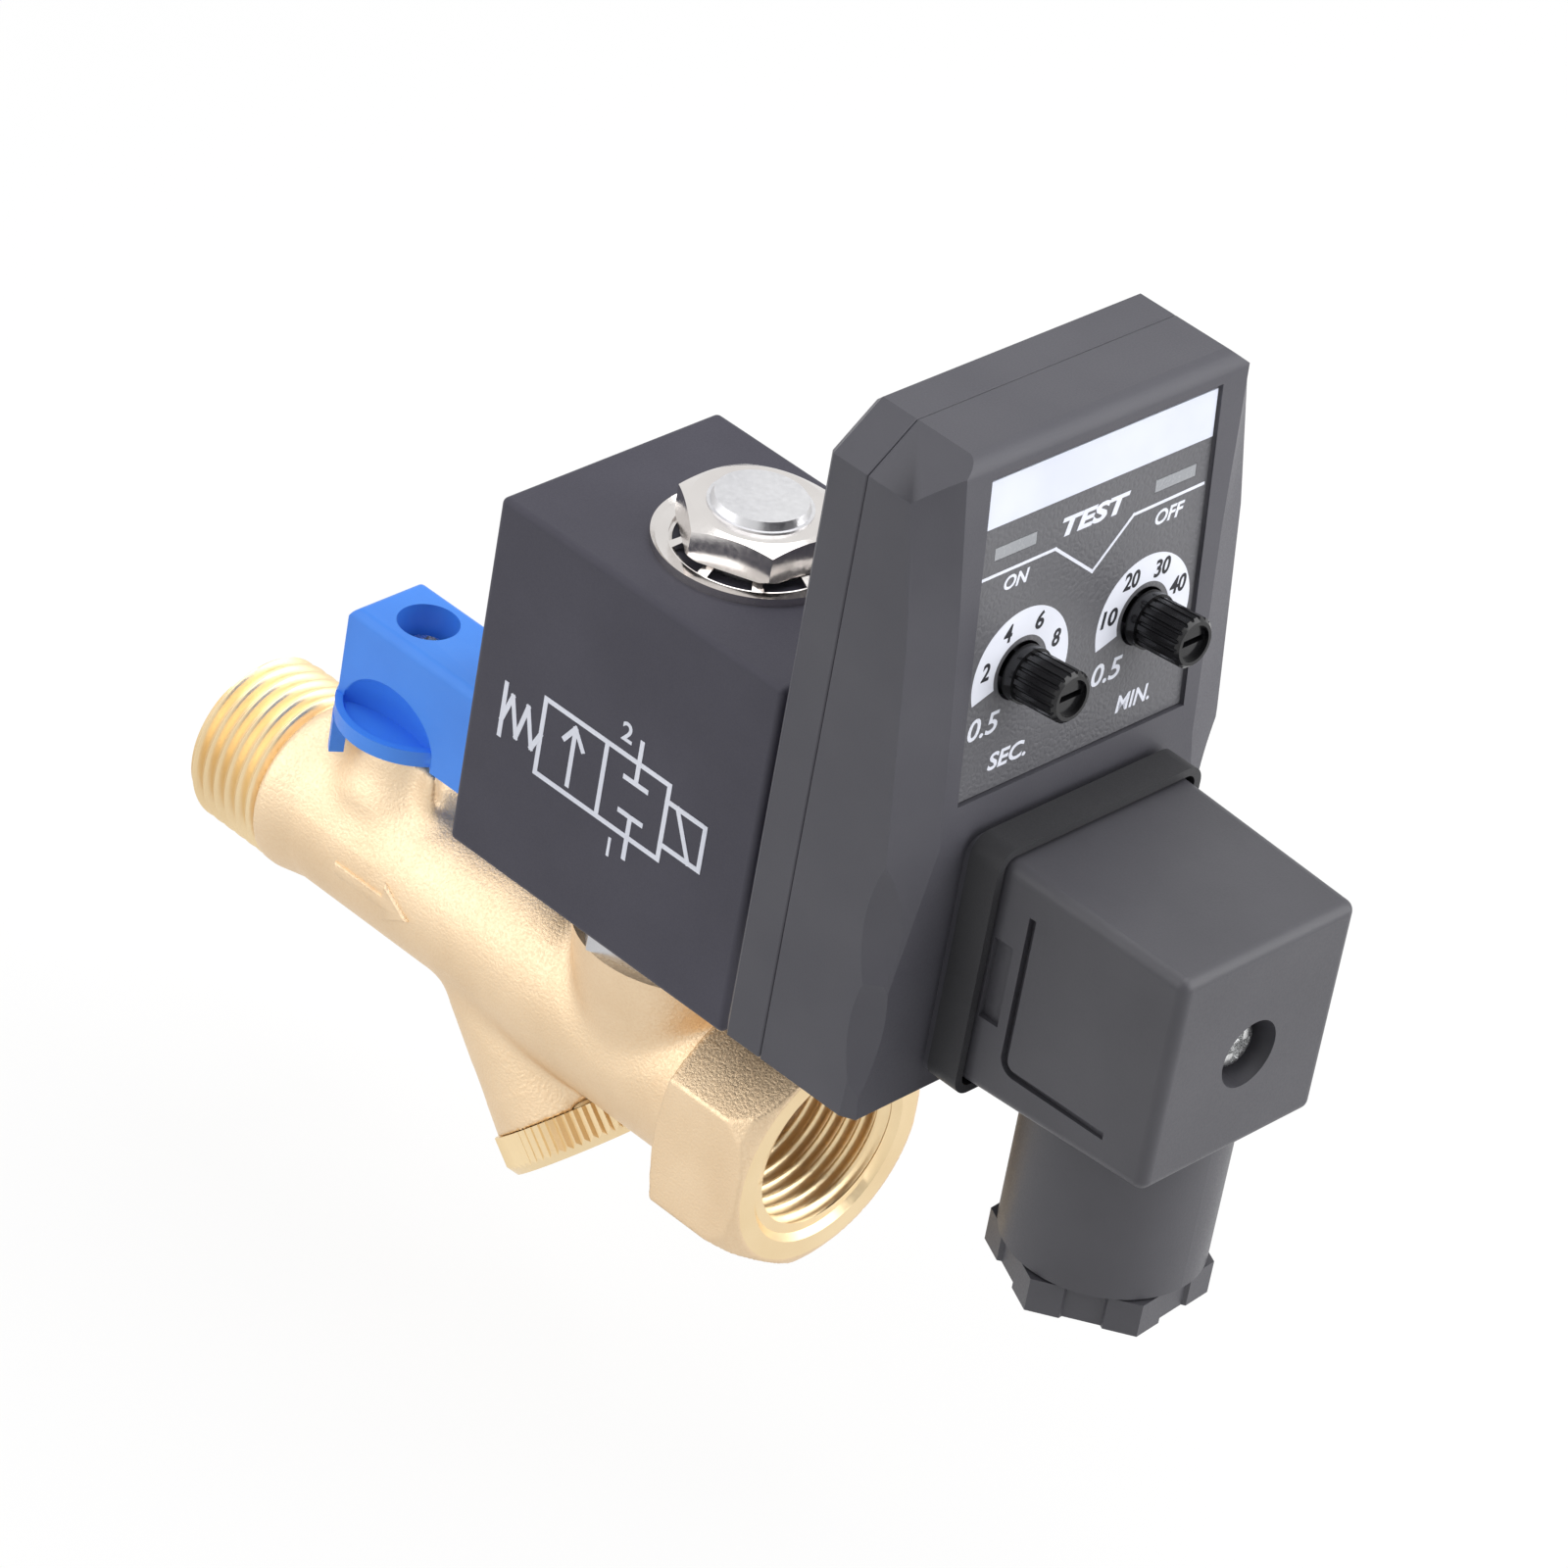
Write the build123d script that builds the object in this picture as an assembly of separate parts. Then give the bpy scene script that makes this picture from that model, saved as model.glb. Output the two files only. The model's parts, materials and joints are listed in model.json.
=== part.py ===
"""Automatic drain valve for a compressed-air tank, in millimetres.

The origin is the centre of the outlet mouth. +X runs along the pipe with the flow,
+Z points up along the solenoid, and Y runs across. The inlet end is at -X.
"""
from build123d import *
from math import cos, pi, radians, sin, sqrt
import os

# ---------------------------------------------------------------- clearances
fit = 0.05                  # radial clearance of a running or push fit
gap = 0.3                   # air between pieces that move past each other
face_gap = 0.05             # air between flat faces of pieces that come apart

# ---------------------------------------------------------------- pipework
thread_r = 10.4775          # G 1/2 major radius, outside and inside
pipe_length = 94.2          # inlet end to outlet mouth
inlet_thread_length = 11.1
waterway_r = 4.6            # bore through nipple, seats and ball
tube_r = 9.8                # cast tube, outside
inlet_collar_r = 10.6       # thicker ring of casting behind the inlet thread
collar_round = 0.8
collar_width = 1.2
outlet_tube_r = 10.9        # cast tube beside the outlet hexagon
shoulder_round = 1.5        # fillet where the tube meets the hexagon
hex_mouth_round = 2.4       # how far the hexagon's corners are turned down at the mouth
hex_across_flats = 28.1
hex_length = 13.8
outlet_depth = 12.4         # depth of the outlet thread
thread_lead_in = 0.9        # chamfer at the inlet thread's end

inlet_x = -pipe_length
shoulder_x = inlet_x + inlet_thread_length

# ---------------------------------------------------------------- ball valve
ball_x = -69.8
ball_r = 7.0
seat_r = 7.5                # outside radius of the two seats
seat_near = 4.2             # seat faces, measured from the ball centre
seat_far = 6.4
shank_r = 8.3               # nipple thread inside the casting
shank_nose = 1.4
stem_r = 3.2
stem_flange_r = 4.0
stem_flange_top = 8.6
stem_tongue = 2.4           # thickness of the tongue in the ball's slot
stem_tongue_bottom = 5.2
stem_square = 4.5
stem_boss_r = 5.9
stem_boss_top = 15.2
stem_root_flare = 2.6
stem_root_bottom = 7.4
stem_root_top = 11.4
packing_r = 4.7
packing_nut_height = 2.4
handle_bottom = 16.0
handle_top = 29.35
handle_seat = 21.8          # where the handle screw's head bears
handle_half_width = 5.5
handle_tail = 7.0           # from the stem axis to the short end
handle_reach = 20.6         # from the stem axis to the long end
handle_recess_r = 3.6
handle_break = 0.8          # chamfer along the lever's top edges
hub_r = 9.15
hub_rim = 2.0
hub_floor = 1.1             # floor of the dished ledge, above the lever's underside
hub_lip = 0.9
flare_height = 3.0          # how far the ledge runs up the lever's short end
scoop_length = 15.6         # the finger scoop in each side of the lever
scoop_rise = 6.2
scoop_depth = 2.3
scoop_forward = 1.2         # from the stem axis to the scoop's middle
skirt_drop = 4.5
skirt_wall = 1.7
skirt_half_angle = 55.0     # half of the arc that the stop skirt covers
handle_travel = 90.0
stop_slack = 2.5            # degrees of air between skirt and stop at each end
stop_width = 14.0           # degrees of arc of each stop lug
stop_height = 5.4           # top of the stop lugs above the tube's crown
screw_head_r = 3.0
screw_head_height = 2.3
screw_shank_r = 1.9

# ---------------------------------------------------------------- strainer
branch_x = -53.4            # where the branch axis crosses the pipe axis
branch_angle = 45.0         # below the pipe axis, leaning towards the outlet
branch_start_r = 8.3
branch_end_r = 9.5
branch_end = 23.7           # distances along the branch axis
branch_bore_r = 7.0
branch_seat = 6.0           # shoulder that the screen's end stands on
screen_r = 5.2
screen_wall = 0.5
cap_r = 10.0
cap_height = 4.7
cap_teeth = 60
cap_tooth_depth = 0.35
cap_plug_r = 8.0
cap_plug_length = 6.0
cap_oring_r = 0.9

# ---------------------------------------------------------------- solenoid valve
solenoid_x = -25.5
boss_top = 15.0
boss_r = 12.7
boss_root_r = 10.0          # at the pipe axis, inside the tube
chamber_r = 7.4
chamber_floor = 4.0
seat_top = 6.2
seat_nozzle_r = 3.4
orifice_r = 2.2
passage_r = 4.2             # outlet passage under the chamber
passage_drop = 2.0
tube_thread_r = 8.6
tube_thread_bottom = 9.0
flange_across_flats = 22.5
flange_height = 2.4
armature_tube_r = 6.5
armature_bore_r = 5.2
core_bottom = 36.0
plunger_stroke = 1.8
plunger_clearance = 0.08    # radial, in the tube
plunger_nose_r = 4.6
seal_r = 3.6
seal_height = 1.6
spring_wire_r = 0.3
spring_coil_r = 2.1
spring_pocket_r = 2.7
spring_pocket_depth = 9.0
spring_turns = 5
core_pocket_depth = 2.0
stud_r = 5.8
stud_show = 1.05            # stud above the nut
core_disc_r = 5.45

# ---------------------------------------------------------------- coil
coil_bottom = 19.8
coil_height = 44.3
coil_width = 32.5
coil_back = 21.8            # from the solenoid axis to the inlet side
coil_front = 21.0           # from the solenoid axis to the timer side
coil_round = 0.8
coil_bore_r = 6.7
bobbin_flange_r = 12.4
bobbin_wall = 0.9
bobbin_flange = 1.2
yoke_sheet = 2.0
yoke_half = 13.6
yoke_margin = 2.6           # plastic over the yoke, above and below
washer_r = 11.1
washer_sheet = 0.5
washer_dish = 1.4
washer_windows = 9
washer_window_share = 0.8
washer_leg_turn = -42.0     # azimuth of one leg between windows
nut_across_flats = 16.0
nut_height = 4.2
stud_top = coil_bottom + coil_height + washer_dish + nut_height + stud_show
wave_washer_r = 11.0
wave_washer_sheet = 0.6

# ---------------------------------------------------------------- timer
timer_back = 2.5
timer_parting = 8.2
timer_bottom = 28.6
timer_top = 105.0
timer_half_width = 25.0
timer_wall = 2.0
corner_run = 6.0            # top corner chamfer, across
corner_rise = 4.6           # top corner chamfer, down
face_x = 21.5               # upright lower part of the front face
face_break = 61.0           # height where the front face starts to lean back
face_lean = 0.0985          # millimetres back for each millimetre up
# sections of the front shell: height, ridge behind the front face, face edge inside the side
shell_sections = (
    (28.6, 1.6, 0.9),
    (34.5, 1.3, 0.3),
    (41.0, 0.4, 1.4),
    (61.0, 1.8, 5.9),
    (85.0, 2.1, 5.3),
    (105.0, 3.9, 4.0),
)
shell_top_round = 2.0
# thumb scoops in the lower front corners: middle height, half length, depth at the corner
shell_scoops = (
    (52.5, 9.0, 1.5),
    (40.0, 7.5, 1.1),
)
shell_screw_r = 1.3
shell_screw_head_r = 2.4
shell_screw_head = 1.6
shell_screw_inset = 6.0
shell_post_r = 3.2
panel_half_width = 17.1
panel_bottom = 65.0
panel_top = 102.3
panel_recess = 1.0
panel_sheet = 0.5
knob_y = 9.2
knob_z = 78.0
knob_r = 2.85
knob_length = 6.9           # out of the panel
knob_spindle_r = 1.5
knob_hole_r = 3.3
knob_ribs = 18
led_y = 11.9
led_z = 93.0
led_width = 6.2
led_height = 1.5
label_bottom = 96.3
label_top = 101.8
label_sheet = 0.15
board_thickness = 1.6
board_edge = 0.6            # air round the board
relay_size = 9.0
capacitor_r = 3.6
component_height = 7.2
led_r = 1.5
board_gap = 3.6             # from the back shell's floor to the board
pot_size = 9.5
pot_height = 2.6
pot_floor = 0.6
pot_depth = 6.4             # back of the potentiometers below the front face
test_button_r = 2.0
test_travel = 0.4
test_z = 92.0
plinth_half = 14.9
plinth_height = 1.0

# ---------------------------------------------------------------- connectors
plug_z = 45.6               # height of the connectors' screw
connector_half = 13.5
coil_gasket_thickness = 1.1
blade_width = 6.3
blade_thickness = 0.8
blade_length = 8.0
blade_spread = 9.0
blade_root = 6.0            # length held in the coil's moulding
clip_wall = 0.8
long_screw_r = 1.5
long_screw_hole_r = 1.9
long_screw_head = 2.4
long_screw_slot = 0.8

# ---------------------------------------------------------------- cable plug
plug_wall = 2.2
insert_gap = 0.5            # between terminal block and plug wall
insert_end = 3.0            # from the terminal block's end to the sleeve's axis
insert_margin = 2.3         # terminal block outside the side blades
plug_base_width = 2 * (blade_spread + insert_margin + insert_gap + plug_wall)
plug_drop = 13.4            # plug below its screw
plug_rise = 14.7            # plug above its screw
plug_taper = 0.85           # each side, from base to end
plug_end_x = 50.7
plug_round = 1.3
gasket_lip = 1.0
gasket_gap = 0.4            # between lip and plug
gasket_lip_depth = 2.6
gasket_round = 2.4
gasket_floor = 1.4
screw_recess_r = 4.0
screw_recess_depth = 5.4
sleeve_x = 37.8
sleeve_r = 11.24
sleeve_bottom = 14.0
sleeve_bore_r = 9.2
gland_hex_across_flats = 20.8
gland_turn = 34.0           # azimuth of one corner of the gland's hexagon
gland_pad = 0.45
gland_pad_width = 6.4
gland_head = 4.4
gland_shank_length = 7.0
gland_hole_r = 4.2
gland_washer_thickness = 1.0
cable_seal_length = 6.5

BASE = (Align.CENTER, Align.CENTER, Align.MIN)


# ---------------------------------------------------------------- shared shapes
def rod_x(radius, x0, x1, y=0.0, z=0.0):
    """A round bar along X."""
    return Pos(x0, y, z) * Rot(0, 90, 0) * Cylinder(radius, x1 - x0, align=BASE)


def rod_z(radius, z0, z1, x=0.0, y=0.0):
    """A round bar along Z."""
    return Pos(x, y, z0) * Cylinder(radius, z1 - z0, align=BASE)


def cone_z(r0, r1, z0, z1, x=0.0):
    """A tapered bar along Z."""
    return Pos(x, 0, z0) * Cone(r0, r1, z1 - z0, align=BASE)


def ring_z(outer, inner, z0, z1, x=0.0, y=0.0):
    """A plain ring along Z."""
    return rod_z(outer, z0, z1, x, y) - rod_z(inner, z0, z1, x, y)


def block(x0, x1, y0, y1, z0, z1):
    """A box given by its six faces."""
    centre = Pos((x0 + x1) / 2, (y0 + y1) / 2, (z0 + z1) / 2)
    return centre * Box(x1 - x0, y1 - y0, z1 - z0)


def hex_x(across_flats, x0, x1):
    """A hexagonal bar along X with corners at the top and the bottom."""
    face = Plane(origin=(x0, 0, 0), x_dir=(0, 0, 1), z_dir=(1, 0, 0))
    return extrude(face * RegularPolygon(across_flats / 2, 6, major_radius=False), x1 - x0)


def hex_z(across_flats, z0, z1, x=0.0, turn=0.0):
    """A hexagonal bar along Z, turned about its axis."""
    outline = RegularPolygon(across_flats / 2, 6, major_radius=False)
    return extrude(Pos(x, 0, z0) * Rot(0, 0, turn) * outline, z1 - z0)


def turned_x(points):
    """A solid turned about the pipe axis from (x, radius) points."""
    return revolve(make_face(Polyline(*points, close=True)), Axis.X)


def turned_z(points, x=0.0):
    """A solid turned about a vertical axis from (radius, z) points."""
    return Pos(x, 0, 0) * revolve(make_face(Plane.XZ * Polyline(*points, close=True)), Axis.Z)


def on_branch(shape):
    """Place a shape made along +Z on the strainer branch's axis."""
    return Pos(branch_x, 0, 0) * Rot(0, 90 + branch_angle, 0) * shape


def cuts(group):
    """One solid to cut with, from a group of separate ones."""
    tool = group.children[0]
    for piece in group.children[1:]:
        tool = tool + piece
    return tool


def arc_ring(outer, inner, start, end, z0, z1, x=0.0):
    """A stretch of ring between two angles, in degrees."""
    reach = outer * 3
    middle = (start + end) / 2
    corners = [(0, 0)]
    for angle in (start, middle, end):
        corners.append((reach * cos(radians(angle)), reach * sin(radians(angle))))
    wedge = extrude(Pos(x, 0, z0) * make_face(Polyline(*corners, close=True)), z1 - z0)
    return ring_z(outer, inner, z0, z1, x) & wedge


# ---------------------------------------------------------------- pipework pieces
def body_casting():
    """The outside of the brass casting, before any bore is cut."""
    hex_x0 = -hex_length
    corner_r = hex_across_flats / sqrt(3)
    tube = turned_x([
        (shoulder_x, 0), (shoulder_x, inlet_collar_r - collar_round),
        (shoulder_x + collar_round, inlet_collar_r),
        (shoulder_x + collar_round + collar_width, inlet_collar_r),
        (shoulder_x + 6.0, tube_r), (branch_x - 2.0, tube_r), (branch_x + 14.0, outlet_tube_r),
        (hex_x0 + 1.0, outlet_tube_r), (hex_x0 + 1.0, 0),
    ])
    rounding = turned_x([
        (hex_x0, 0), (hex_x0, outlet_tube_r + 1.6), (hex_x0 + 1.6, corner_r),
        (-1.4 * hex_mouth_round, corner_r), (-0.4 * hex_mouth_round, corner_r - 0.4 * hex_mouth_round),
        (0, corner_r - hex_mouth_round), (0, 0),
    ])
    hexagon = hex_x(hex_across_flats, hex_x0, 0) & rounding
    boss = cone_z(boss_root_r, boss_r, 0, boss_top, solenoid_x)
    stem_boss = rod_z(stem_boss_r, 0, stem_boss_top, ball_x)
    stem_root = cone_z(stem_boss_r + stem_root_flare, stem_boss_r, stem_root_bottom,
                       stem_root_top, ball_x)
    branch = on_branch(Cone(branch_start_r, branch_end_r, branch_end, align=BASE))
    casting = tube + hexagon + boss + stem_boss + stem_root + branch
    skirt_edge = 180 - skirt_half_angle
    lug_starts = (
        skirt_edge - stop_slack - stop_width,
        -skirt_edge + handle_travel + stop_slack,
    )
    for start in lug_starts:
        casting += arc_ring(hub_r, stem_boss_r - 1, start, start + stop_width,
                            5.0, tube_r + stop_height, ball_x)
    return casting


def valve_body():
    """The brass body: casting, waterways, ball chamber, branch and outlet thread bore."""
    body = body_casting()
    seat_bore = rod_x(seat_r + fit, shoulder_x, ball_x + seat_far)
    shank_bore = rod_x(shank_r + fit, shoulder_x, ball_x - seat_far - shank_nose)
    inlet_way = rod_x(waterway_r, ball_x, branch_x + 3.0)
    outlet_way = rod_x(passage_r, solenoid_x - passage_r, -outlet_depth, z=-passage_drop)
    outlet_bore = rod_x(thread_r, -outlet_depth, 0)
    body -= seat_bore + shank_bore + inlet_way + outlet_way + outlet_bore
    stem_bore = rod_z(stem_r + fit, 0, stem_boss_top, ball_x)
    flange_bore = rod_z(stem_flange_r + fit, 0, stem_flange_top, ball_x)
    packing_bore = rod_z(packing_r, stem_flange_top + 1.2, stem_boss_top, ball_x)
    body -= stem_bore + flange_bore + packing_bore
    branch_way = on_branch(Cylinder(screen_r - screen_wall, branch_end, align=BASE))
    branch_bore = on_branch(Pos(0, 0, branch_seat) * Cylinder(branch_bore_r, branch_end, align=BASE))
    cap_sweep = on_branch(Pos(0, 0, branch_end) * Cylinder(cap_r + gap, 3 * cap_height, align=BASE))
    cap_bore = on_branch(Pos(0, 0, branch_end - cap_plug_length - gap)
                         * Cylinder(cap_plug_r + fit, cap_plug_length + 2, align=BASE))
    body -= branch_way + branch_bore + cap_bore + cap_sweep
    chamber = rod_z(chamber_r, chamber_floor, boss_top, solenoid_x)
    nozzle = rod_z(seat_nozzle_r, chamber_floor, seat_top, solenoid_x)
    thread_bore = rod_z(tube_thread_r + fit, tube_thread_bottom, boss_top, solenoid_x)
    orifice = rod_z(orifice_r, -passage_drop, seat_top, solenoid_x)
    body -= (chamber - nozzle) + thread_bore + orifice
    body -= feed_passage()
    return body


def feed_passage():
    """The slanting drilling from the strainer's outer space up to the valve chamber."""
    top = Vector(solenoid_x - chamber_r + 1.8, 0, chamber_floor + 1.5)
    foot = Vector(branch_x + 12.5, 0, -3.5)
    run = foot - top
    drill = Plane(origin=top, z_dir=run)
    return drill * Cylinder(1.7, run.length, align=BASE)


def inlet_nipple():
    """The threaded inlet end, which screws in and holds the ball and seats."""
    nose_x = ball_x - seat_far
    shank_end = nose_x - shank_nose
    end_r = thread_r - thread_lead_in
    return turned_x([
        (inlet_x, waterway_r), (inlet_x, end_r), (inlet_x + thread_lead_in, thread_r),
        (shoulder_x, thread_r), (shoulder_x, shank_r), (shank_end, shank_r),
        (shank_end, seat_r - 0.1), (nose_x, seat_r - 0.1), (nose_x, waterway_r),
    ])


def ball_seats():
    """Two PTFE seats, each with a round hollow for the ball."""
    hollow = Pos(ball_x, 0) * Circle(ball_r + fit / 2)
    seats = []
    for side in (-1, 1):
        near, far = ball_x + side * seat_near, ball_x + side * seat_far
        outline = make_face(Polyline((near, waterway_r), (near, seat_r), (far, seat_r),
                                     (far, waterway_r), close=True))
        seats.append(revolve(outline - hollow, Axis.X))
    return Compound(children=seats)


def ball():
    """The bored ball with the slot that the stem turns it by."""
    sphere = Pos(ball_x, 0, 0) * Sphere(ball_r)
    bore = rod_x(waterway_r, ball_x - ball_r, ball_x + ball_r)
    slot_half = stem_tongue / 2 + fit
    slot = block(ball_x - ball_r, ball_x + ball_r, -slot_half, slot_half,
                 stem_tongue_bottom - fit, ball_r)
    return sphere - bore - slot


def ball_stem():
    """The blow-out-proof stem: tongue, flange, round shaft, square and tapped hole."""
    flange_bottom = seat_r + gap / 2
    shaft = rod_z(stem_r, flange_bottom, handle_bottom - 0.2, ball_x)
    flange = rod_z(stem_flange_r, flange_bottom, stem_flange_top - fit, ball_x)
    tongue = block(ball_x - 3.6, ball_x + 3.6, -stem_tongue / 2, stem_tongue / 2,
                   stem_tongue_bottom, flange_bottom + 0.1)
    half = stem_square / 2
    square = block(ball_x - half, ball_x + half, -half, half, handle_bottom - 0.3, handle_seat - 0.2)
    hole = rod_z(screw_shank_r, handle_bottom, handle_seat, ball_x)
    return shaft + flange + tongue + square - hole


def stem_packing():
    """The PTFE packing ring round the stem."""
    bottom = stem_flange_top + 1.2
    top = stem_boss_top - packing_nut_height
    return ring_z(packing_r, stem_r + fit, bottom, top, ball_x)


def packing_nut():
    """The slotted brass ring nut that presses the packing down."""
    top = stem_boss_top
    nut = ring_z(packing_r, stem_r + fit, top - packing_nut_height, top, ball_x)
    slot = block(ball_x - packing_r, ball_x + packing_r, -0.6, 0.6, top - 0.9, top)
    return nut - slot


def handle():
    """The moulded lever: flat-topped block, dished hub ledge and stop skirt."""
    x0 = ball_x - handle_tail
    x1 = ball_x + handle_reach
    lever = block(x0, x1, -handle_half_width, handle_half_width, handle_bottom, handle_top)
    lever = chamfer(lever.edges().group_by(Axis.Z)[-1], handle_break)
    rim = handle_bottom + hub_rim
    floor = handle_bottom + hub_floor
    lever = lever - finger_scoop(-1) - finger_scoop(1)
    hub = turned_z([
        (0, handle_bottom), (hub_r - 0.1, handle_bottom), (hub_r, rim),
        (hub_r - hub_lip, rim), (hub_r - hub_lip - 0.4, floor), (0, floor),
    ], ball_x)
    flare = turned_z([
        (0, floor), (hub_r - hub_lip, rim), (hub_r, rim), (hub_r - 1.0, rim + 0.35 * flare_height),
        (handle_tail + 0.3, rim + 0.7 * flare_height), (handle_tail, rim + flare_height),
        (0, rim + flare_height),
    ], ball_x)
    hub += flare & block(ball_x - hub_r, x0 + 1.0, -handle_half_width, handle_half_width,
                         handle_bottom, handle_top)
    skirt_start = 180 - skirt_half_angle
    skirt = arc_ring(hub_r, hub_r - skirt_wall, skirt_start, 180 + skirt_half_angle,
                     handle_bottom - skirt_drop, handle_bottom, ball_x)
    lever = lever + hub + skirt
    half = stem_square / 2 + fit
    socket = block(ball_x - half, ball_x + half, -half, half, handle_bottom, handle_seat - 1.0)
    stem_room = rod_z(stem_r + gap, handle_bottom, handle_bottom + 0.6, ball_x)
    recess = rod_z(handle_recess_r, handle_seat, handle_top, ball_x)
    screw_hole = rod_z(screw_shank_r + 0.2, handle_bottom, handle_top, ball_x)
    square_room = block(ball_x - half, ball_x + half, -half, half, handle_bottom, handle_seat - 0.1)
    pocket = block(ball_x + hub_r, x1 - 1.8, -handle_half_width + 1.8, handle_half_width - 1.8,
                   handle_bottom, handle_top - 2.4)
    return lever - socket - stem_room - recess - screw_hole - square_room - pocket


def finger_scoop(side):
    """The hollow in one side of the lever, above the ledge: a stretched ball on its edge."""
    sink = 1.0
    ball_shape = scale(Sphere(1), by=(scoop_length / 2, scoop_depth + sink, scoop_rise))
    middle = Pos(ball_x + scoop_forward, side * (handle_half_width + sink), handle_bottom + hub_floor)
    return middle * ball_shape


def handle_screw():
    """The pan-head screw that holds the lever on the stem."""
    head = rod_z(screw_head_r, handle_seat, handle_seat + screw_head_height, ball_x)
    head = fillet(head.edges().group_by(Axis.Z)[-1], 0.8)
    shank = rod_z(screw_shank_r - fit, handle_bottom + 0.4, handle_seat, ball_x)
    cross = block(ball_x - 1.7, ball_x + 1.7, -0.4, 0.4, handle_seat + 1.1, handle_top)
    cross += block(ball_x - 0.4, ball_x + 0.4, -1.7, 1.7, handle_seat + 1.1, handle_top)
    return head + shank - cross


# ---------------------------------------------------------------- strainer pieces
def strainer_screen():
    """The perforated cylinder that catches rust and scale."""
    start = branch_seat + 2 * face_gap
    length = branch_end - start - 1.3
    tube = Cylinder(screen_r, length, align=BASE) - Cylinder(screen_r - screen_wall, length,
                                                            align=BASE)
    windows = []
    for row in range(3):
        z = 2.0 + row * (length - 2.0) / 3
        for turn in (0, 60, 120):
            windows.append(Pos(0, 0, z) * Rot(0, 0, turn + 30 * row)
                           * Box(3 * screen_r, 2.6, (length - 2.0) / 3 - 1.2, align=BASE))
    for window in windows:
        tube -= window
    return on_branch(Pos(0, 0, start) * tube)


def toothed_disc(radius, teeth, depth, height):
    """A disc with straight V-shaped teeth round its rim."""
    corners = []
    for index in range(2 * teeth):
        angle = pi * index / teeth
        reach = radius - (depth if index % 2 else 0)
        corners.append((reach * cos(angle), reach * sin(angle)))
    return extrude(make_face(Polyline(*corners, close=True)), height)


def strainer_cap():
    """The knurled cap with its threaded plug and the socket for the screen."""
    rim = toothed_disc(cap_r, cap_teeth, cap_tooth_depth, cap_height)
    soften = Cone(cap_r + 2.2, cap_r - 0.8, cap_height + 0.02, align=BASE)
    rim = rim & soften
    plug = Pos(0, 0, -cap_plug_length) * Cylinder(cap_plug_r, cap_plug_length + 0.5, align=BASE)
    socket = Pos(0, 0, -cap_plug_length) * Cylinder(screen_r + fit, cap_plug_length - 1.2,
                                                    align=BASE)
    groove = Pos(0, 0, -2 * cap_oring_r - 0.4) * (
        Cylinder(cap_plug_r + 1, 2 * cap_oring_r, align=BASE)
        - Cylinder(cap_plug_r - 2 * cap_oring_r + fit, 2 * cap_oring_r, align=BASE))
    return on_branch(Pos(0, 0, branch_end + face_gap) * (rim + plug - socket - groove))


def strainer_cap_oring():
    """The O-ring in the groove of the cap's plug."""
    centre = branch_end + face_gap - cap_oring_r - 0.4
    ring = Torus(cap_plug_r - cap_oring_r + fit, cap_oring_r - fit / 2)
    return on_branch(Pos(0, 0, centre) * ring)


# ---------------------------------------------------------------- solenoid pieces
def core_shoulder():
    """Height of the core's shoulder, just under the coil washer."""
    return coil_bottom + coil_height + washer_dish - washer_sheet - gap


def armature_tube():
    """The plated guide tube with its hexagonal flange and threaded foot."""
    foot = rod_z(tube_thread_r, tube_thread_bottom, boss_top, solenoid_x)
    flange = hex_z(flange_across_flats, boss_top, boss_top + flange_height, solenoid_x, 18)
    tube = rod_z(armature_tube_r, boss_top, core_shoulder(), solenoid_x)
    bore = rod_z(armature_bore_r, tube_thread_bottom, stud_top, solenoid_x)
    return foot + flange + tube - bore


def tube_oring():
    """The O-ring under the armature tube's foot."""
    radius = (tube_thread_r + armature_bore_r) / 2
    wire = 0.8
    return Pos(solenoid_x, 0, tube_thread_bottom - wire) * Torus(radius - 0.4, wire - fit)


def fixed_core():
    """The steel core that closes the tube, with the stud and turned disc on top."""
    core = rod_z(armature_bore_r, core_bottom, core_shoulder(), solenoid_x)
    stud = rod_z(stud_r, core_shoulder(), stud_top - 0.9, solenoid_x)
    disc = cone_z(core_disc_r, core_disc_r - 0.35, stud_top - 0.9, stud_top, solenoid_x)
    pocket = rod_z(spring_pocket_r, core_bottom, core_bottom + core_pocket_depth, solenoid_x)
    return core + stud + disc - pocket


def plunger_top():
    """Height of the plunger's top when it rests on the seat."""
    return core_bottom - plunger_stroke - 2 * face_gap


def plunger():
    """The moving core, with its nose, seal pocket and spring pocket."""
    bottom = seat_top + face_gap
    top = plunger_top()
    plunger_r = armature_bore_r - plunger_clearance
    shaft = rod_z(plunger_r, tube_thread_bottom + 1.0, top, solenoid_x)
    nose = rod_z(plunger_nose_r, bottom + 0.2, tube_thread_bottom + 1.0, solenoid_x)
    seal_pocket = rod_z(seal_r, bottom, bottom + seal_height, solenoid_x)
    spring_pocket = rod_z(spring_pocket_r, top - spring_pocket_depth, top, solenoid_x)
    flats = block(solenoid_x - plunger_r, solenoid_x + plunger_r, plunger_r - 0.6, plunger_r + 1,
                  bottom, top)
    return shaft + nose - seal_pocket - spring_pocket - flats - mirror(flats, Plane.XZ)


def plunger_seal():
    """The rubber disc in the plunger's nose."""
    bottom = seat_top + face_gap
    return rod_z(seal_r, bottom, bottom + seal_height, solenoid_x)


def plunger_spring():
    """The compression spring between plunger and core."""
    bottom = plunger_top() - spring_pocket_depth + spring_wire_r + fit
    height = core_bottom + core_pocket_depth - spring_wire_r - fit - bottom
    path = Helix(height / spring_turns, height, spring_coil_r)
    start = Plane(origin=path @ 0, z_dir=path % 0)
    wire = sweep(start * RegularPolygon(spring_wire_r, 6), path=path, is_frenet=True)
    return Pos(solenoid_x, 0, bottom) * wire


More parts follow.
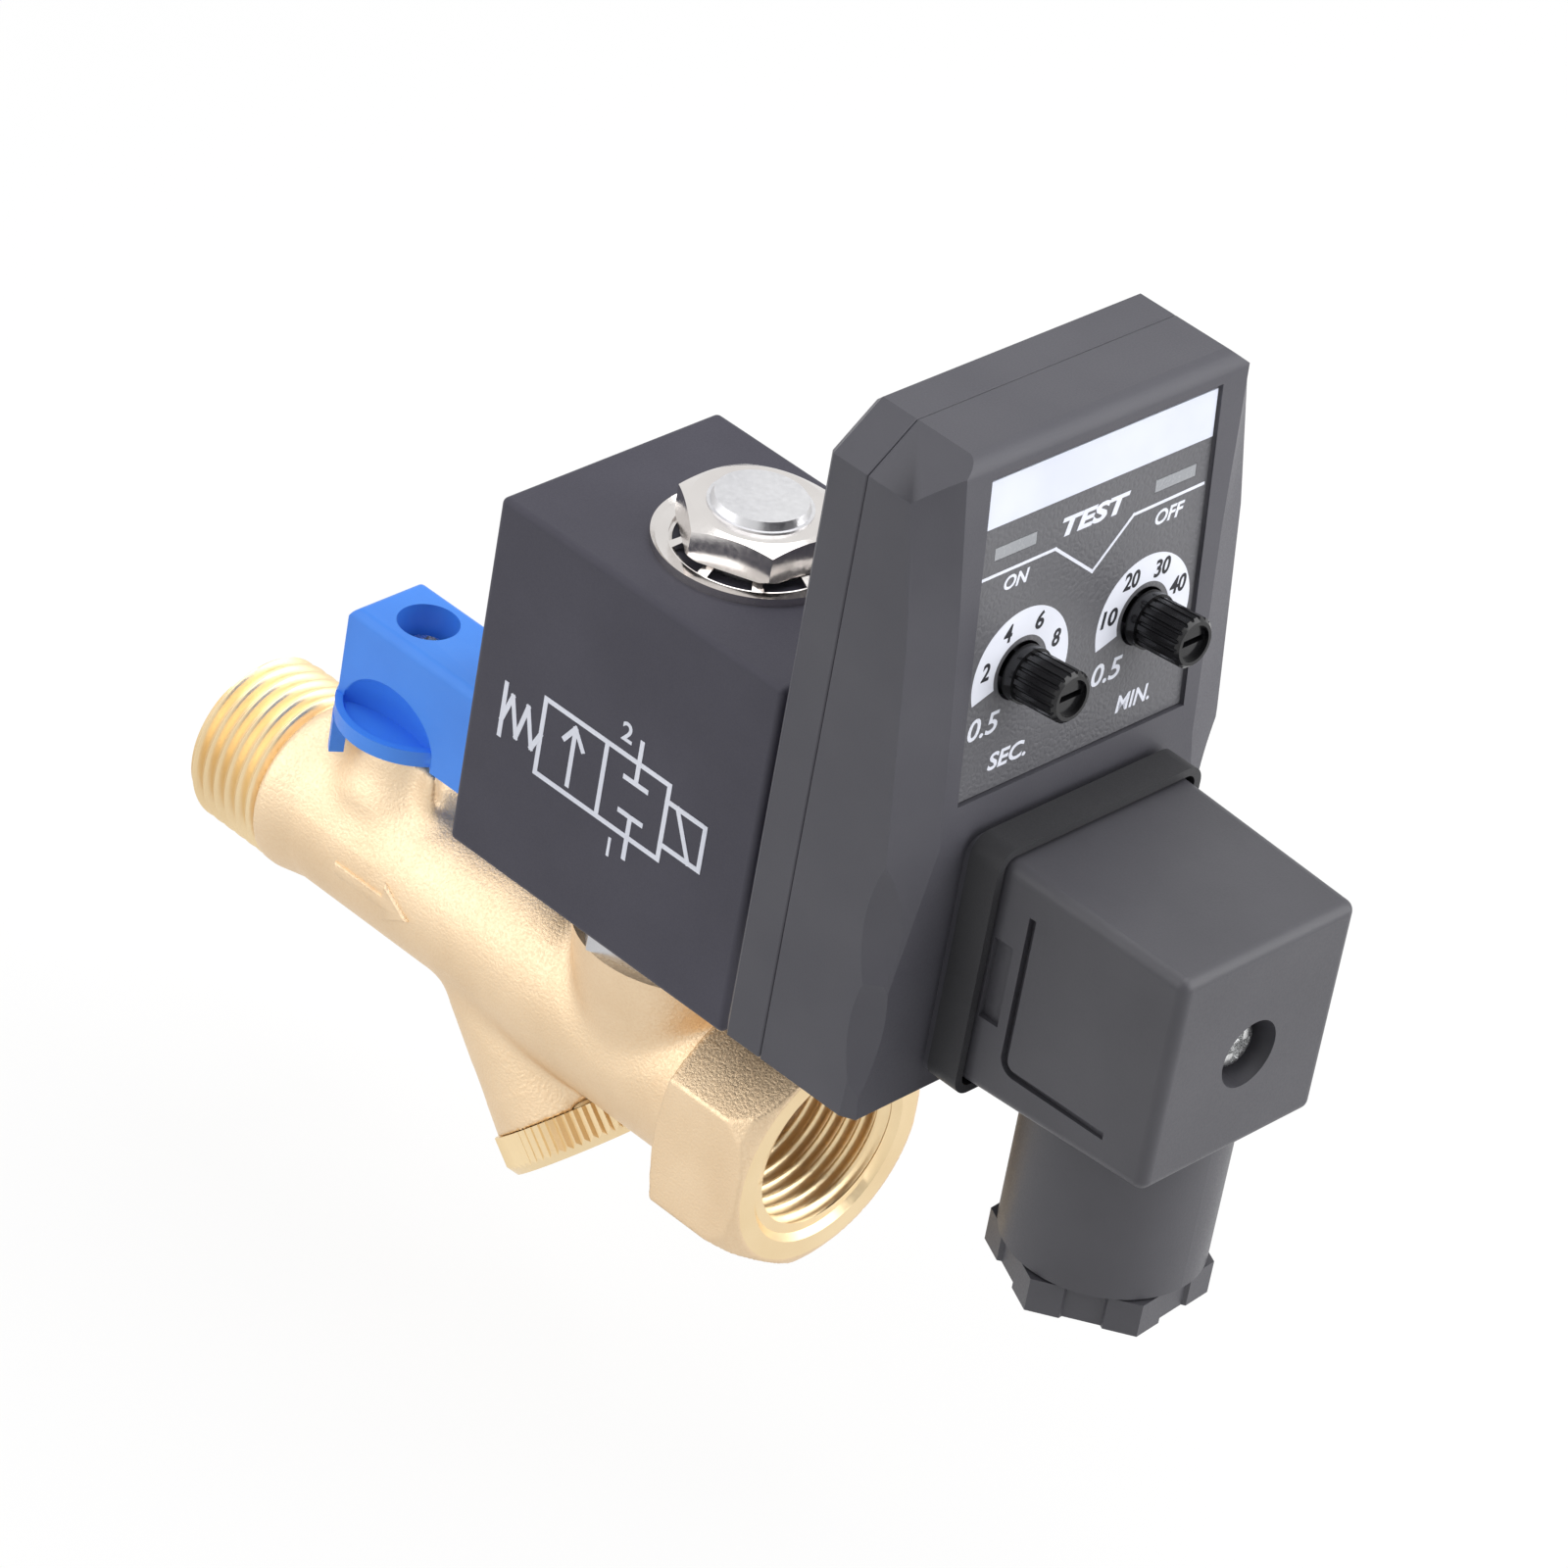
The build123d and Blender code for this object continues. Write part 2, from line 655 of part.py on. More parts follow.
# ---------------------------------------------------------------- coil pieces
def coil_block():
    """The outline of the coil's moulding."""
    x0 = solenoid_x - coil_back
    x1 = solenoid_x + coil_front
    half = coil_width / 2
    moulding = block(x0, x1, -half, half, coil_bottom, coil_bottom + coil_height)
    return fillet(moulding.edges(), coil_round)


def coil_core_space():
    """The room inside the moulding for yoke, bobbin and winding."""
    low = coil_bottom + yoke_margin
    high = coil_bottom + coil_height - yoke_margin
    return block(solenoid_x - yoke_half, solenoid_x + yoke_half, -yoke_half, yoke_half, low, high)


def coil_housing():
    """The black encapsulation, with the bore and the connector face."""
    housing = coil_block() - coil_core_space()
    housing -= rod_z(coil_bore_r, coil_bottom, coil_bottom + coil_height, solenoid_x)
    front = solenoid_x + coil_front
    housing -= cuts(blades(front - blade_root, front))
    return housing - rod_x(long_screw_r + fit, front - blade_root, front, z=plug_z)


def coil_yoke():
    """The steel frame round the winding: top and bottom plates and two legs."""
    space = coil_core_space()
    box = space.bounding_box()
    inner = block(box.min.X, box.max.X, box.min.Y + yoke_sheet, box.max.Y - yoke_sheet,
                  box.min.Z + yoke_sheet, box.max.Z - yoke_sheet)
    return space - inner - rod_z(coil_bore_r, box.min.Z, box.max.Z, solenoid_x)


def coil_bobbin():
    """The spool that the wire is wound on."""
    low = coil_bottom + yoke_margin + yoke_sheet
    high = coil_bottom + coil_height - yoke_margin - yoke_sheet
    hub_r_outer = coil_bore_r + bobbin_wall
    flange_r = min(bobbin_flange_r, yoke_half - yoke_sheet - fit)
    spool = rod_z(hub_r_outer, low, high, solenoid_x)
    spool += rod_z(flange_r, low, low + bobbin_flange, solenoid_x)
    spool += rod_z(flange_r, high - bobbin_flange, high, solenoid_x)
    return spool - rod_z(coil_bore_r, low, high, solenoid_x)


def coil_winding():
    """The copper winding between the bobbin's flanges."""
    low = coil_bottom + yoke_margin + yoke_sheet + bobbin_flange
    high = coil_bottom + coil_height - yoke_margin - yoke_sheet - bobbin_flange
    flange_r = min(bobbin_flange_r, yoke_half - yoke_sheet - fit)
    return ring_z(flange_r - 0.6, coil_bore_r + bobbin_wall, low, high, solenoid_x)


def blade_places():
    """Centre and half sizes, in Y and Z, of a connector's three contact blades."""
    wide, thin = blade_width / 2, blade_thickness / 2
    return (
        (-blade_spread, plug_z, thin, wide),
        (blade_spread, plug_z, thin, wide),
        (0.0, plug_z - blade_spread, wide, thin),
    )


def blades(x0, x1, allowance=0.0):
    """Three flat blades, or the slots that they pass through with an allowance."""
    pieces = []
    for y, z, across, tall in blade_places():
        half_y, half_z = across + allowance, tall + allowance
        pieces.append(block(x0, x1, y - half_y, y + half_y, z - half_z, z + half_z))
    return Compound(children=pieces)


def clips(x0, x1):
    """Three spring contacts that grip the blades."""
    pieces = []
    shells = blades(x0, x1, fit + clip_wall).children
    rooms = blades(x0, x1 - clip_wall, fit).children
    for shell, room in zip(shells, rooms):
        pieces.append(shell - room)
    return Compound(children=pieces)


def coil_terminals():
    """The coil's three blades."""
    front = solenoid_x + coil_front
    return blades(front - blade_root, front + blade_length)


def wave_washer():
    """The spring washer under the coil."""
    top = coil_bottom
    return ring_z(wave_washer_r, armature_tube_r + 0.2, top - wave_washer_sheet, top, solenoid_x)


def coil_washer():
    """The dished washer under the nut, with windows between its legs."""
    z = coil_bottom + coil_height
    seat = z + washer_dish
    sheet = washer_sheet
    dish = turned_z([
        (stud_r + 0.5, seat - sheet), (stud_r + 0.5, seat), (nut_across_flats / 2 - 0.6, seat),
        (washer_r - 1.9, z + sheet), (washer_r - 0.6, z + sheet), (washer_r, z + sheet + 0.5),
        (washer_r, z), (washer_r - 2.0, z), (nut_across_flats / 2 - 0.9, seat - sheet),
    ], solenoid_x)
    step = 360 / washer_windows
    leg = step * (1 - washer_window_share)
    for index in range(washer_windows):
        start = washer_leg_turn + leg / 2 + index * step
        dish -= arc_ring(washer_r - 2.0, nut_across_flats / 2 - 0.7, start,
                         start + step * washer_window_share, z + 0.2, seat + 1, solenoid_x)
    return dish


def coil_nut():
    """The chamfered hexagon nut on the stud."""
    bottom = coil_bottom + coil_height + washer_dish
    top = bottom + nut_height
    corner_r = nut_across_flats / sqrt(3)
    nut = hex_z(nut_across_flats, bottom, top, solenoid_x, 24)
    form = turned_z([
        (0, bottom), (corner_r - 0.5, bottom), (corner_r, bottom + 0.4), (corner_r, top - 0.9),
        (nut_across_flats / 2 - 0.5, top), (0, top),
    ], solenoid_x)
    return (nut & form) - rod_z(stud_r, bottom, top, solenoid_x)


def coil_gasket():
    """The flat seal between the coil and the timer."""
    front = solenoid_x + coil_front
    sheet = block(front, front + coil_gasket_thickness, -connector_half, connector_half,
                  plug_z - connector_half, plug_z + connector_half)
    sheet -= cuts(blades(front, front + 2, gap))
    return sheet - rod_x(long_screw_hole_r, front, front + 2, z=plug_z)


# ---------------------------------------------------------------- timer pieces
def front_x_at(height):
    """X of the front face at a height: upright below the break, leaning back above it."""
    return face_x - face_lean * max(0.0, height - face_break)


def shell_loft(inset):
    """The front shell's faceted form, shrunk inwards by an inset."""
    outlines = []
    side = timer_half_width - inset
    for height, ridge_back, edge_in in shell_sections:
        half = timer_half_width - edge_in
        front = front_x_at(height) - inset
        ridge = front - ridge_back
        z = min(max(height, timer_bottom + inset), timer_top - inset)
        corners = [
            (timer_parting, -side), (ridge, -side), (front, -half + inset),
            (front, half - inset), (ridge, side), (timer_parting, side),
        ]
        outlines.append(Pos(0, 0, z) * make_face(Polyline(*corners, close=True)))
    return loft(outlines, ruled=True)


def corner_wedges(inset, x0, x1):
    """The two prisms that cut the top corners off the shells."""
    side = timer_half_width - inset
    top = timer_top - inset
    face = Plane(origin=(x0, 0, 0), x_dir=(0, 1, 0), z_dir=(1, 0, 0))
    outline = make_face(Polyline((side - corner_run, top), (side, top - corner_rise),
                                 (side + 3, top - corner_rise), (side + 3, top + 3),
                                 (side - corner_run, top + 3), close=True))
    wedge = extrude(face * outline, x1 - x0)
    return wedge + mirror(wedge, Plane.XZ)


def panel_place(y, z, depth=0.0):
    """A plane on the front face, at a depth below it, looking outwards."""
    normal = Vector(1, 0, face_lean).normalized()
    point = Vector(front_x_at(z), y, z) - normal * depth
    return Plane(origin=point, x_dir=(0, 1, 0), z_dir=normal)


def panel_middle(depth):
    """The plane in the middle of the recessed panel."""
    return panel_place(0, (panel_bottom + panel_top) / 2, depth)


def panel_height():
    """The panel's height along its own slope."""
    return (panel_top - panel_bottom) * sqrt(1 + face_lean ** 2)


def corner_scoop(height, half_length, depth):
    """A large round bar laid across a lower front corner of the shell, to scoop it out."""
    radius = (half_length ** 2 + depth ** 2) / (2 * depth)
    outwards = Vector(1, -1, 0).normalized()
    corner = Vector(front_x_at(height), -timer_half_width + 1.0, height)
    centre = corner + outwards * (radius - depth)
    along = Plane(origin=centre, z_dir=Vector(1, 1, 0))
    return along * Cylinder(radius, 30)


def timer_front_shell():
    """The facetted front half: loft, hollow, panel recess, knob and LED holes, plinth."""
    shell = shell_loft(0) - corner_wedges(0, timer_parting - 1, 30)
    front_top = [edge for edge in shell.edges().filter_by(Axis.Y).group_by(Axis.Z)[-1]
                 if edge.center().X > timer_parting + 1]
    shell = fillet(front_top, shell_top_round)
    for scoop in shell_scoops:
        cut = corner_scoop(*scoop)
        shell = shell - cut - mirror(cut, Plane.XZ)
    hollow = shell_loft(timer_wall) - corner_wedges(timer_wall, timer_parting - 1, 30)
    shell -= hollow
    recess = Rectangle(2 * panel_half_width, panel_height())
    shell -= extrude(panel_middle(panel_recess) * recess, 3)
    for y in (-knob_y, knob_y):
        shell -= extrude(panel_place(y, knob_z, 5) * Circle(knob_hole_r), 8)
    for y in (-led_y, led_y):
        shell -= extrude(panel_place(y, led_z, 5) * Rectangle(led_width, led_height), 8)
    shell -= extrude(panel_place(0, test_z, 5) * Circle(test_button_r + fit + gap), 8)
    plinth = block(face_x - timer_wall, face_x + plinth_height, -plinth_half, plinth_half,
                   plug_z - plinth_half, plug_z + plinth_half)
    plinth = fillet(plinth.edges().filter_by(Axis.X), 2.0)
    shell += plinth
    shell -= cuts(blades(face_x - timer_wall - 1, face_x + plinth_height))
    return shell - rod_x(long_screw_hole_r, timer_parting, face_x + 2 * plinth_height, z=plug_z)


def timer_back_shell():
    """The back half, with the socket block that stands against the coil."""
    side = timer_half_width
    outer = block(timer_back, timer_parting, -side, side, timer_bottom, timer_top)
    outer -= corner_wedges(0, timer_back - 1, timer_parting + 1)
    outer = chamfer(outer.faces().sort_by(Axis.X)[0].edges(), 0.9)
    inner = block(timer_back + timer_wall, timer_parting, -side + timer_wall, side - timer_wall,
                  timer_bottom + timer_wall, timer_top - timer_wall)
    inner -= corner_wedges(timer_wall, timer_back, timer_parting + 1)
    shell = outer - inner
    socket_x = solenoid_x + coil_front + coil_gasket_thickness
    socket = block(socket_x, timer_back + timer_wall, -connector_half, connector_half,
                   plug_z - connector_half, plug_z + connector_half)
    socket = fillet(socket.edges().filter_by(Axis.X), 1.5)
    shell += socket
    shell -= cuts(blades(socket_x, timer_parting, fit + clip_wall))
    shell -= rod_x(long_screw_hole_r, socket_x, timer_parting, z=plug_z)
    for y, z in shell_screw_places():
        post = rod_x(shell_post_r, timer_back + timer_wall / 2, timer_parting, y, z)
        shell = shell + post
    for y, z in shell_screw_places():
        shell -= rod_x(shell_screw_r + fit, timer_back, timer_parting, y, z)
        shell -= rod_x(shell_screw_head_r + fit, timer_back, timer_back + shell_screw_head, y, z)
    return shell


def shell_screw_places():
    """Y and Z of the four screws that hold the two shells together."""
    y = timer_half_width - shell_screw_inset
    low = timer_bottom + shell_screw_inset
    high = timer_top - corner_rise - shell_screw_inset
    return ((-y, low), (y, low), (-y, high), (y, high))


def shell_screws():
    """Four countersunk screws from the back, biting in posts of the front shell."""
    pieces = []
    for y, z in shell_screw_places():
        seat = timer_back + shell_screw_head
        head = rod_x(shell_screw_head_r, timer_back, seat, y, z)
        shank = rod_x(shell_screw_r, seat, timer_parting, y, z)
        slot_r = 0.7 * shell_screw_head_r
        slot = block(timer_back, timer_back + shell_screw_head / 2, y - slot_r, y + slot_r,
                     z - slot_r / 5, z + slot_r / 5)
        pieces.append(head + shank - slot)
    return Compound(children=pieces)


def front_panel():
    """The printed sheet in the recess, with holes for knobs and LED windows."""
    width = 2 * panel_half_width - 0.3
    sheet = extrude(panel_middle(panel_recess) * Rectangle(width, panel_height() - 0.3),
                    panel_sheet)
    for y in (-knob_y, knob_y):
        sheet -= extrude(panel_place(y, knob_z, 3) * Circle(knob_hole_r), 6)
    for y in (-led_y, led_y):
        sheet -= extrude(panel_place(y, led_z, 3) * Rectangle(led_width, led_height), 6)
    return sheet


def label_strip():
    """The bare white writing strip at the top of the panel."""
    middle = (label_bottom + label_top) / 2
    place = panel_place(0, middle, panel_recess - panel_sheet)
    return extrude(place * Rectangle(2 * panel_half_width - 0.6, label_top - label_bottom),
                   label_sheet)


def led_windows():
    """Two clear windows, flush with the panel."""
    pieces = []
    for y in (-led_y, led_y):
        place = panel_place(y, led_z, panel_recess)
        pieces.append(extrude(place * Rectangle(led_width - 2 * fit, led_height - 2 * fit),
                              panel_sheet))
    return Compound(children=pieces)


def knob(y):
    """A ribbed knob with a slotted end and the spindle that enters its potentiometer."""
    foot = panel_recess - panel_sheet - 0.4
    place = panel_place(y, knob_z, foot)
    length = knob_length
    body = extrude(place * Circle(knob_r), length)
    body = chamfer(body.edges().sort_by(Axis.X)[-1], 0.4)
    for index in range(knob_ribs):
        angle = 2 * pi * index / knob_ribs
        spot = Pos(knob_r * cos(angle), knob_r * sin(angle), 1.2)
        body -= place * spot * Cylinder(0.22, length, align=BASE)
    skirt = extrude(place * Circle(knob_r + 0.25), 1.2)
    dish = extrude(place.offset(length - 0.6) * Circle(knob_r - 0.8), 2)
    slot = extrude(place.offset(length - 1.5) * Rectangle(2 * knob_r - 2.0, 0.7), 2)
    reach = pot_depth - pot_floor - gap - foot
    spindle = extrude(place.offset(-reach) * Circle(knob_spindle_r), reach + 0.5)
    return body + skirt - dish - slot + spindle


def board_x():
    """X of the circuit board's front face."""
    return timer_back + timer_wall + board_gap


def knob_on():
    """The ON-time knob."""
    return knob(-knob_y)


def knob_off():
    """The OFF-time knob."""
    return knob(knob_y)


def potentiometers():
    """Two small round potentiometers, square on to the panel, with pins to the board."""
    pieces = []
    for y in (-knob_y, knob_y):
        place = panel_place(y, knob_z, pot_depth)
        case = extrude(place * Rectangle(pot_size, pot_size), pot_height)
        foot_half = pot_size / 3
        foot = block(board_x(), place.origin.X + pot_floor / 2, y - foot_half, y + foot_half,
                     knob_z - foot_half, knob_z + foot_half)
        bore = extrude(place.offset(pot_floor) * Circle(knob_spindle_r + fit), pot_height)
        pieces.append(case + foot - bore)
    return Compound(children=pieces)


def circuit_board():
    """The board across the timer, notched round the socket and the screw posts."""
    x = board_x()
    side = timer_half_width - timer_wall - board_edge
    low = plug_z
    back = x - board_thickness
    board = block(back, x, -side, side, low, timer_top - timer_wall - corner_rise)
    board -= block(back, x, -connector_half, connector_half, low, plug_z + connector_half)
    for y, z in shell_screw_places():
        board -= rod_x(shell_post_r + gap, back, x, y, z)
    return board


def relay():
    """The small relay on the board."""
    x = board_x()
    side = timer_half_width - timer_wall - board_edge
    middle = plug_z + connector_half + relay_size
    return block(x, x + component_height, side - relay_size, side - 1.0,
                 middle - relay_size / 2, middle + relay_size / 2)


def capacitor():
    """The supply capacitor on the board."""
    x = board_x()
    y = -timer_half_width + timer_wall + board_edge + 1.5 * capacitor_r
    return rod_x(capacitor_r, x, x + component_height, y, plug_z + connector_half + relay_size)


def indicator_leds():
    """Two LEDs on the board, behind the windows."""
    x = board_x()
    pieces = []
    for y in (-led_y, led_y):
        tip = front_x_at(led_z) - timer_wall - 3 * gap
        pieces.append(rod_x(led_r, x, tip, y, led_z))
    return Compound(children=pieces)


def test_switch():
    """The small switch on the board behind the panel's flexible test area."""
    x = board_x()
    body = block(x, x + 3.2, -3.0, 3.0, test_z - 3.0, test_z + 3.0)
    return body - rod_x(test_button_r + fit, x + 1.0, x + 4, 0, test_z)


def test_button():
    """The actuator that the flexible panel presses."""
    x = board_x() + 1.0 + test_travel + gap
    front = panel_place(0, test_z, panel_recess + face_gap)
    tip_x = front.origin.X - face_lean * test_button_r
    return rod_x(test_button_r, x, tip_x, 0, test_z)


def socket_contacts():
    """The timer's rear contacts, which grip the coil's blades."""
    start = solenoid_x + coil_front + coil_gasket_thickness + 0.4
    return clips(start, start + blade_length + 0.4)


def front_blades():
    """The timer's own blades for the cable plug."""
    return blades(face_x - timer_wall, face_x + plinth_height + blade_length)


# ---------------------------------------------------------------- cable plug pieces
def gasket_x():
    """X of the back face of the plug's gasket."""
    return face_x + plinth_height


def plug_back_x():
    """X of the open back edge of the plug housing."""
    return gasket_x() + gasket_floor + face_gap


def plug_frame(x0, x1, grow, radius):
    """A block along X, larger than the plug's foot by a margin, with rounded long edges."""
    half = plug_base_width / 2 + grow
    frame = block(x0, x1, -half, half, plug_z - plug_drop - grow, plug_z + plug_rise + grow)
    return fillet(frame.edges().filter_by(Axis.X), radius)


def plug_gasket():
    """The rubber gasket, with a lip that stands round the plug's foot."""
    x = gasket_x()
    tip = x + gasket_floor + gasket_lip_depth
    frame = plug_frame(x, tip, gasket_gap + gasket_lip, gasket_round)
    frame -= plug_frame(x + gasket_floor, tip, gasket_gap, gasket_round - gasket_lip)
    frame -= cuts(blades(x, tip, gap))
    return frame - rod_x(long_screw_hole_r, x, tip, z=plug_z)


def plug_loft(inset, x0, x1):
    """The tapered box of the plug, shrunk by an inset."""
    ends = []
    middle = plug_z + (plug_rise - plug_drop) / 2
    for x in (x0, x1):
        narrow = 2 * (inset + plug_taper * (x - plug_back_x()) / (plug_end_x - plug_back_x()))
        plane = Plane(origin=(x, 0, middle), x_dir=(0, 1, 0), z_dir=(1, 0, 0))
        ends.append(plane * Rectangle(plug_base_width - narrow, plug_drop + plug_rise - narrow))
    return loft(ends, ruled=True)


def plug_housing():
    """The cable plug's moulding: tapered box, down-pointing sleeve and screw recess."""
    x0 = plug_back_x()
    box = plug_loft(0, x0, plug_end_x)
    back = box.faces().sort_by(Axis.X)[0]
    keep = back.edges()
    rounded = [edge for edge in box.edges() if edge not in keep]
    box = fillet(rounded, plug_round)
    sleeve = rod_z(sleeve_r, sleeve_bottom, plug_z - plug_drop + plug_wall, sleeve_x)
    hollow = plug_loft(plug_wall, x0, screw_seat_x() - plug_wall)
    box = box + sleeve - hollow
    box -= rod_z(sleeve_bore_r, sleeve_bottom, plug_z - plug_drop + 2 * plug_wall, sleeve_x)
    box -= rod_x(screw_recess_r, screw_seat_x(), plug_end_x, z=plug_z)
    box -= rod_x(long_screw_r + 0.2, x0, plug_end_x, z=plug_z)
    return box - side_groove() - pry_notch()


def screw_seat_x():
    """X of the floor of the screw's recess."""
    return plug_end_x - screw_recess_depth


def side_groove():
    """The L-shaped sunk line of the moulded label field on the -Y side."""
    y = -plug_base_width / 2
    x0, x1 = plug_back_x() + 6.4, plug_end_x - 6.0
    low, high = plug_z - plug_drop + 4.2, plug_z + plug_rise - 4.6
    depth = 1.1
    upright = block(x0, x0 + 0.9, y - 1, y + depth, low + 2, high)
    foot = block(x0 + 2, x1, y - 1, y + depth, low, low + 0.9)
    bend = Pos(x0 + 2, 0, low + 2) * Rot(90, 0, 0) * (
        Cylinder(2.0, 2 * (depth + 1)) - Cylinder(1.1, 2 * (depth + 1)))
    corner = (Pos(0, y, 0) * bend) & block(x0, x0 + 2, y - 1, y + depth, low, low + 2)
    return upright + foot + corner


def pry_notch():
    """The notch at the foot of the plug, for a screwdriver."""
    y = -plug_base_width / 2
    x0 = plug_back_x() + gasket_lip_depth
    return block(x0, x0 + 2.6, y - 1, y + 0.8, plug_z - 4.5, plug_z + 5.5)


def plug_insert():
    """The terminal block inside the plug."""
    x0 = plug_back_x() + 0.2
    x1 = sleeve_x - insert_end
    half = blade_spread + insert_margin
    edge = plug_wall + insert_gap
    insert = block(x0, x1, -half, half, plug_z - plug_drop + edge, plug_z + plug_rise - edge)
    insert -= cuts(blades(x0, x1, fit + clip_wall))
    return insert - rod_x(long_screw_hole_r, x0, x1, z=plug_z)


def plug_contacts():
    """The three contacts in the terminal block."""
    x0 = plug_back_x() + 0.4
    return clips(x0, sleeve_x - insert_end - insert_gap)


def plug_screw():
    """The long screw through plug and timer into the coil."""
    seat = screw_seat_x()
    top = seat + long_screw_head
    head_r = screw_recess_r - 1.0
    head = rod_x(head_r, seat, top, z=plug_z)
    head = chamfer(head.edges().sort_by(Axis.X)[-1], 0.4)
    shank = rod_x(long_screw_r, solenoid_x + coil_front - blade_root + 1.0, seat, z=plug_z)
    half = long_screw_slot / 2
    slot = block(top - 1.0, top, -head_r, head_r, plug_z - half, plug_z + half)
    slot += block(top - 1.0, top, -half, half, plug_z - 0.6 * head_r, plug_z + 0.6 * head_r)
    return head + shank - slot


def gland_nut():
    """The cable gland's nut: padded hexagon head and hollow threaded shank."""
    bottom = sleeve_bottom - gland_head
    top = sleeve_bottom - gap
    head = hex_z(gland_hex_across_flats - 2 * gland_pad, bottom, top, sleeve_x, gland_turn)
    hexagon = hex_z(gland_hex_across_flats, bottom, top, sleeve_x, gland_turn)
    corner_r = gland_hex_across_flats / sqrt(3)
    for index in range(3):
        pads = Pos(sleeve_x, 0, bottom) * Rot(0, 0, gland_turn + 60 * index) * Box(
            4 * corner_r, gland_pad_width, gland_head, align=BASE)
        head += hexagon & pads
    shank = rod_z(sleeve_bore_r - fit, top - 0.5,
                  sleeve_bottom + gland_shank_length, sleeve_x)
    hole = rod_z(gland_hole_r, bottom, sleeve_bottom + gland_shank_length, sleeve_x)
    return head + shank - hole


def gland_washer():
    """The plastic washer between nut and seal."""
    low = sleeve_bottom + gland_shank_length + face_gap
    return ring_z(sleeve_bore_r - fit, gland_hole_r + 0.3, low, low + gland_washer_thickness,
                  sleeve_x)


def cable_seal():
    """The rubber ring that closes on the cable."""
    low = sleeve_bottom + gland_shank_length + face_gap + gland_washer_thickness
    return ring_z(sleeve_bore_r - fit, gland_hole_r, low, low + cable_seal_length, sleeve_x)


PIECES = (
    valve_body, inlet_nipple, ball_seats, ball, ball_stem, stem_packing, packing_nut,
    handle, handle_screw, strainer_screen, strainer_cap, strainer_cap_oring,
    armature_tube, tube_oring, fixed_core, plunger, plunger_seal, plunger_spring,
    coil_housing, coil_yoke, coil_bobbin, coil_winding, coil_terminals, wave_washer,
    coil_washer, coil_nut, coil_gasket, timer_front_shell, timer_back_shell, shell_screws,
    front_panel, label_strip, led_windows, knob_on, knob_off, potentiometers, circuit_board,
    relay, capacitor, indicator_leds, test_switch, test_button, socket_contacts, front_blades,
    plug_gasket, plug_housing, plug_insert, plug_contacts, plug_screw, gland_nut, gland_washer,
    cable_seal,
)

os.makedirs("parts", exist_ok=True)
for piece in PIECES:
    export_step(piece(), f"parts/{piece.__name__}.step")
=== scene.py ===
import json
from math import cos, hypot, pi, radians, sin

import bmesh
import bpy
from mathutils import Matrix, Vector
from mathutils.bvhtree import BVHTree
from mathutils.kdtree import KDTree


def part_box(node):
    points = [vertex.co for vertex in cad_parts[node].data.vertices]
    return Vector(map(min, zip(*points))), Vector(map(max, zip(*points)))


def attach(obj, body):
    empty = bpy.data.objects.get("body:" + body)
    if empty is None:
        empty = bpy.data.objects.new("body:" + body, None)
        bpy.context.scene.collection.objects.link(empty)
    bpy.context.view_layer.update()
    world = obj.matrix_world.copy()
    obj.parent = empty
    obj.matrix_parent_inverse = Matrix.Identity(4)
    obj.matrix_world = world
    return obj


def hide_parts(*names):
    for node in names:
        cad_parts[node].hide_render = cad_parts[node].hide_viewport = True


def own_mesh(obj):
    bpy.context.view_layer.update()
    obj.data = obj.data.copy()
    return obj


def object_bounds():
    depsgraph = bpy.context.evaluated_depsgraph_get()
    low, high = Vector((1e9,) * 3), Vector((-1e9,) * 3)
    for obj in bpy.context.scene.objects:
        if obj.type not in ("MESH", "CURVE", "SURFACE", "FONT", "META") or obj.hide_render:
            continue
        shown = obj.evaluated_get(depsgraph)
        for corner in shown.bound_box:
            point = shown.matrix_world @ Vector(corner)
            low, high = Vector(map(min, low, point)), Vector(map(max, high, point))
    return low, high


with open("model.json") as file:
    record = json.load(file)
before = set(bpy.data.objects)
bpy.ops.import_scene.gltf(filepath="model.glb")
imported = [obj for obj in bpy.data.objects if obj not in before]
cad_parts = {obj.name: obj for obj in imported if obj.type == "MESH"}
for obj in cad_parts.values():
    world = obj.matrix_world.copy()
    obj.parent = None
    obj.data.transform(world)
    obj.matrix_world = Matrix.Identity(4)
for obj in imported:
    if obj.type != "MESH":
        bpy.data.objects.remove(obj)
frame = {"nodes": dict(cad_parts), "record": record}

nodes = frame["nodes"]
scene = bpy.context.scene
cad_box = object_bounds()
mm = 0.001

# ------------------------------------------------------------------ studio
# A pale floor that keeps a soft shadow, low enough for the strainer to be drawn out, a white
# surround for the eye and for bright metal, three soft lamps at a plain level, and a long lens
# that looks down on the outlet corner.


def branch_nodes(tree, *names):
    """Add shader nodes by their short names and return them in order."""
    return [tree.nodes.new("ShaderNode" + name) for name in names]


def seen_directly(tree):
    """A socket that is 1 for the camera and for reflections, and 0 for scattered light."""
    path, with_gloss, with_glass = branch_nodes(tree, "LightPath", "Math", "Math")
    with_gloss.operation = with_glass.operation = "MAXIMUM"
    tree.links.new(path.outputs["Is Camera Ray"], with_gloss.inputs[0])
    tree.links.new(path.outputs["Is Glossy Ray"], with_gloss.inputs[1])
    tree.links.new(with_gloss.outputs[0], with_glass.inputs[0])
    tree.links.new(path.outputs["Is Transmission Ray"], with_glass.inputs[1])
    return with_glass.outputs[0]


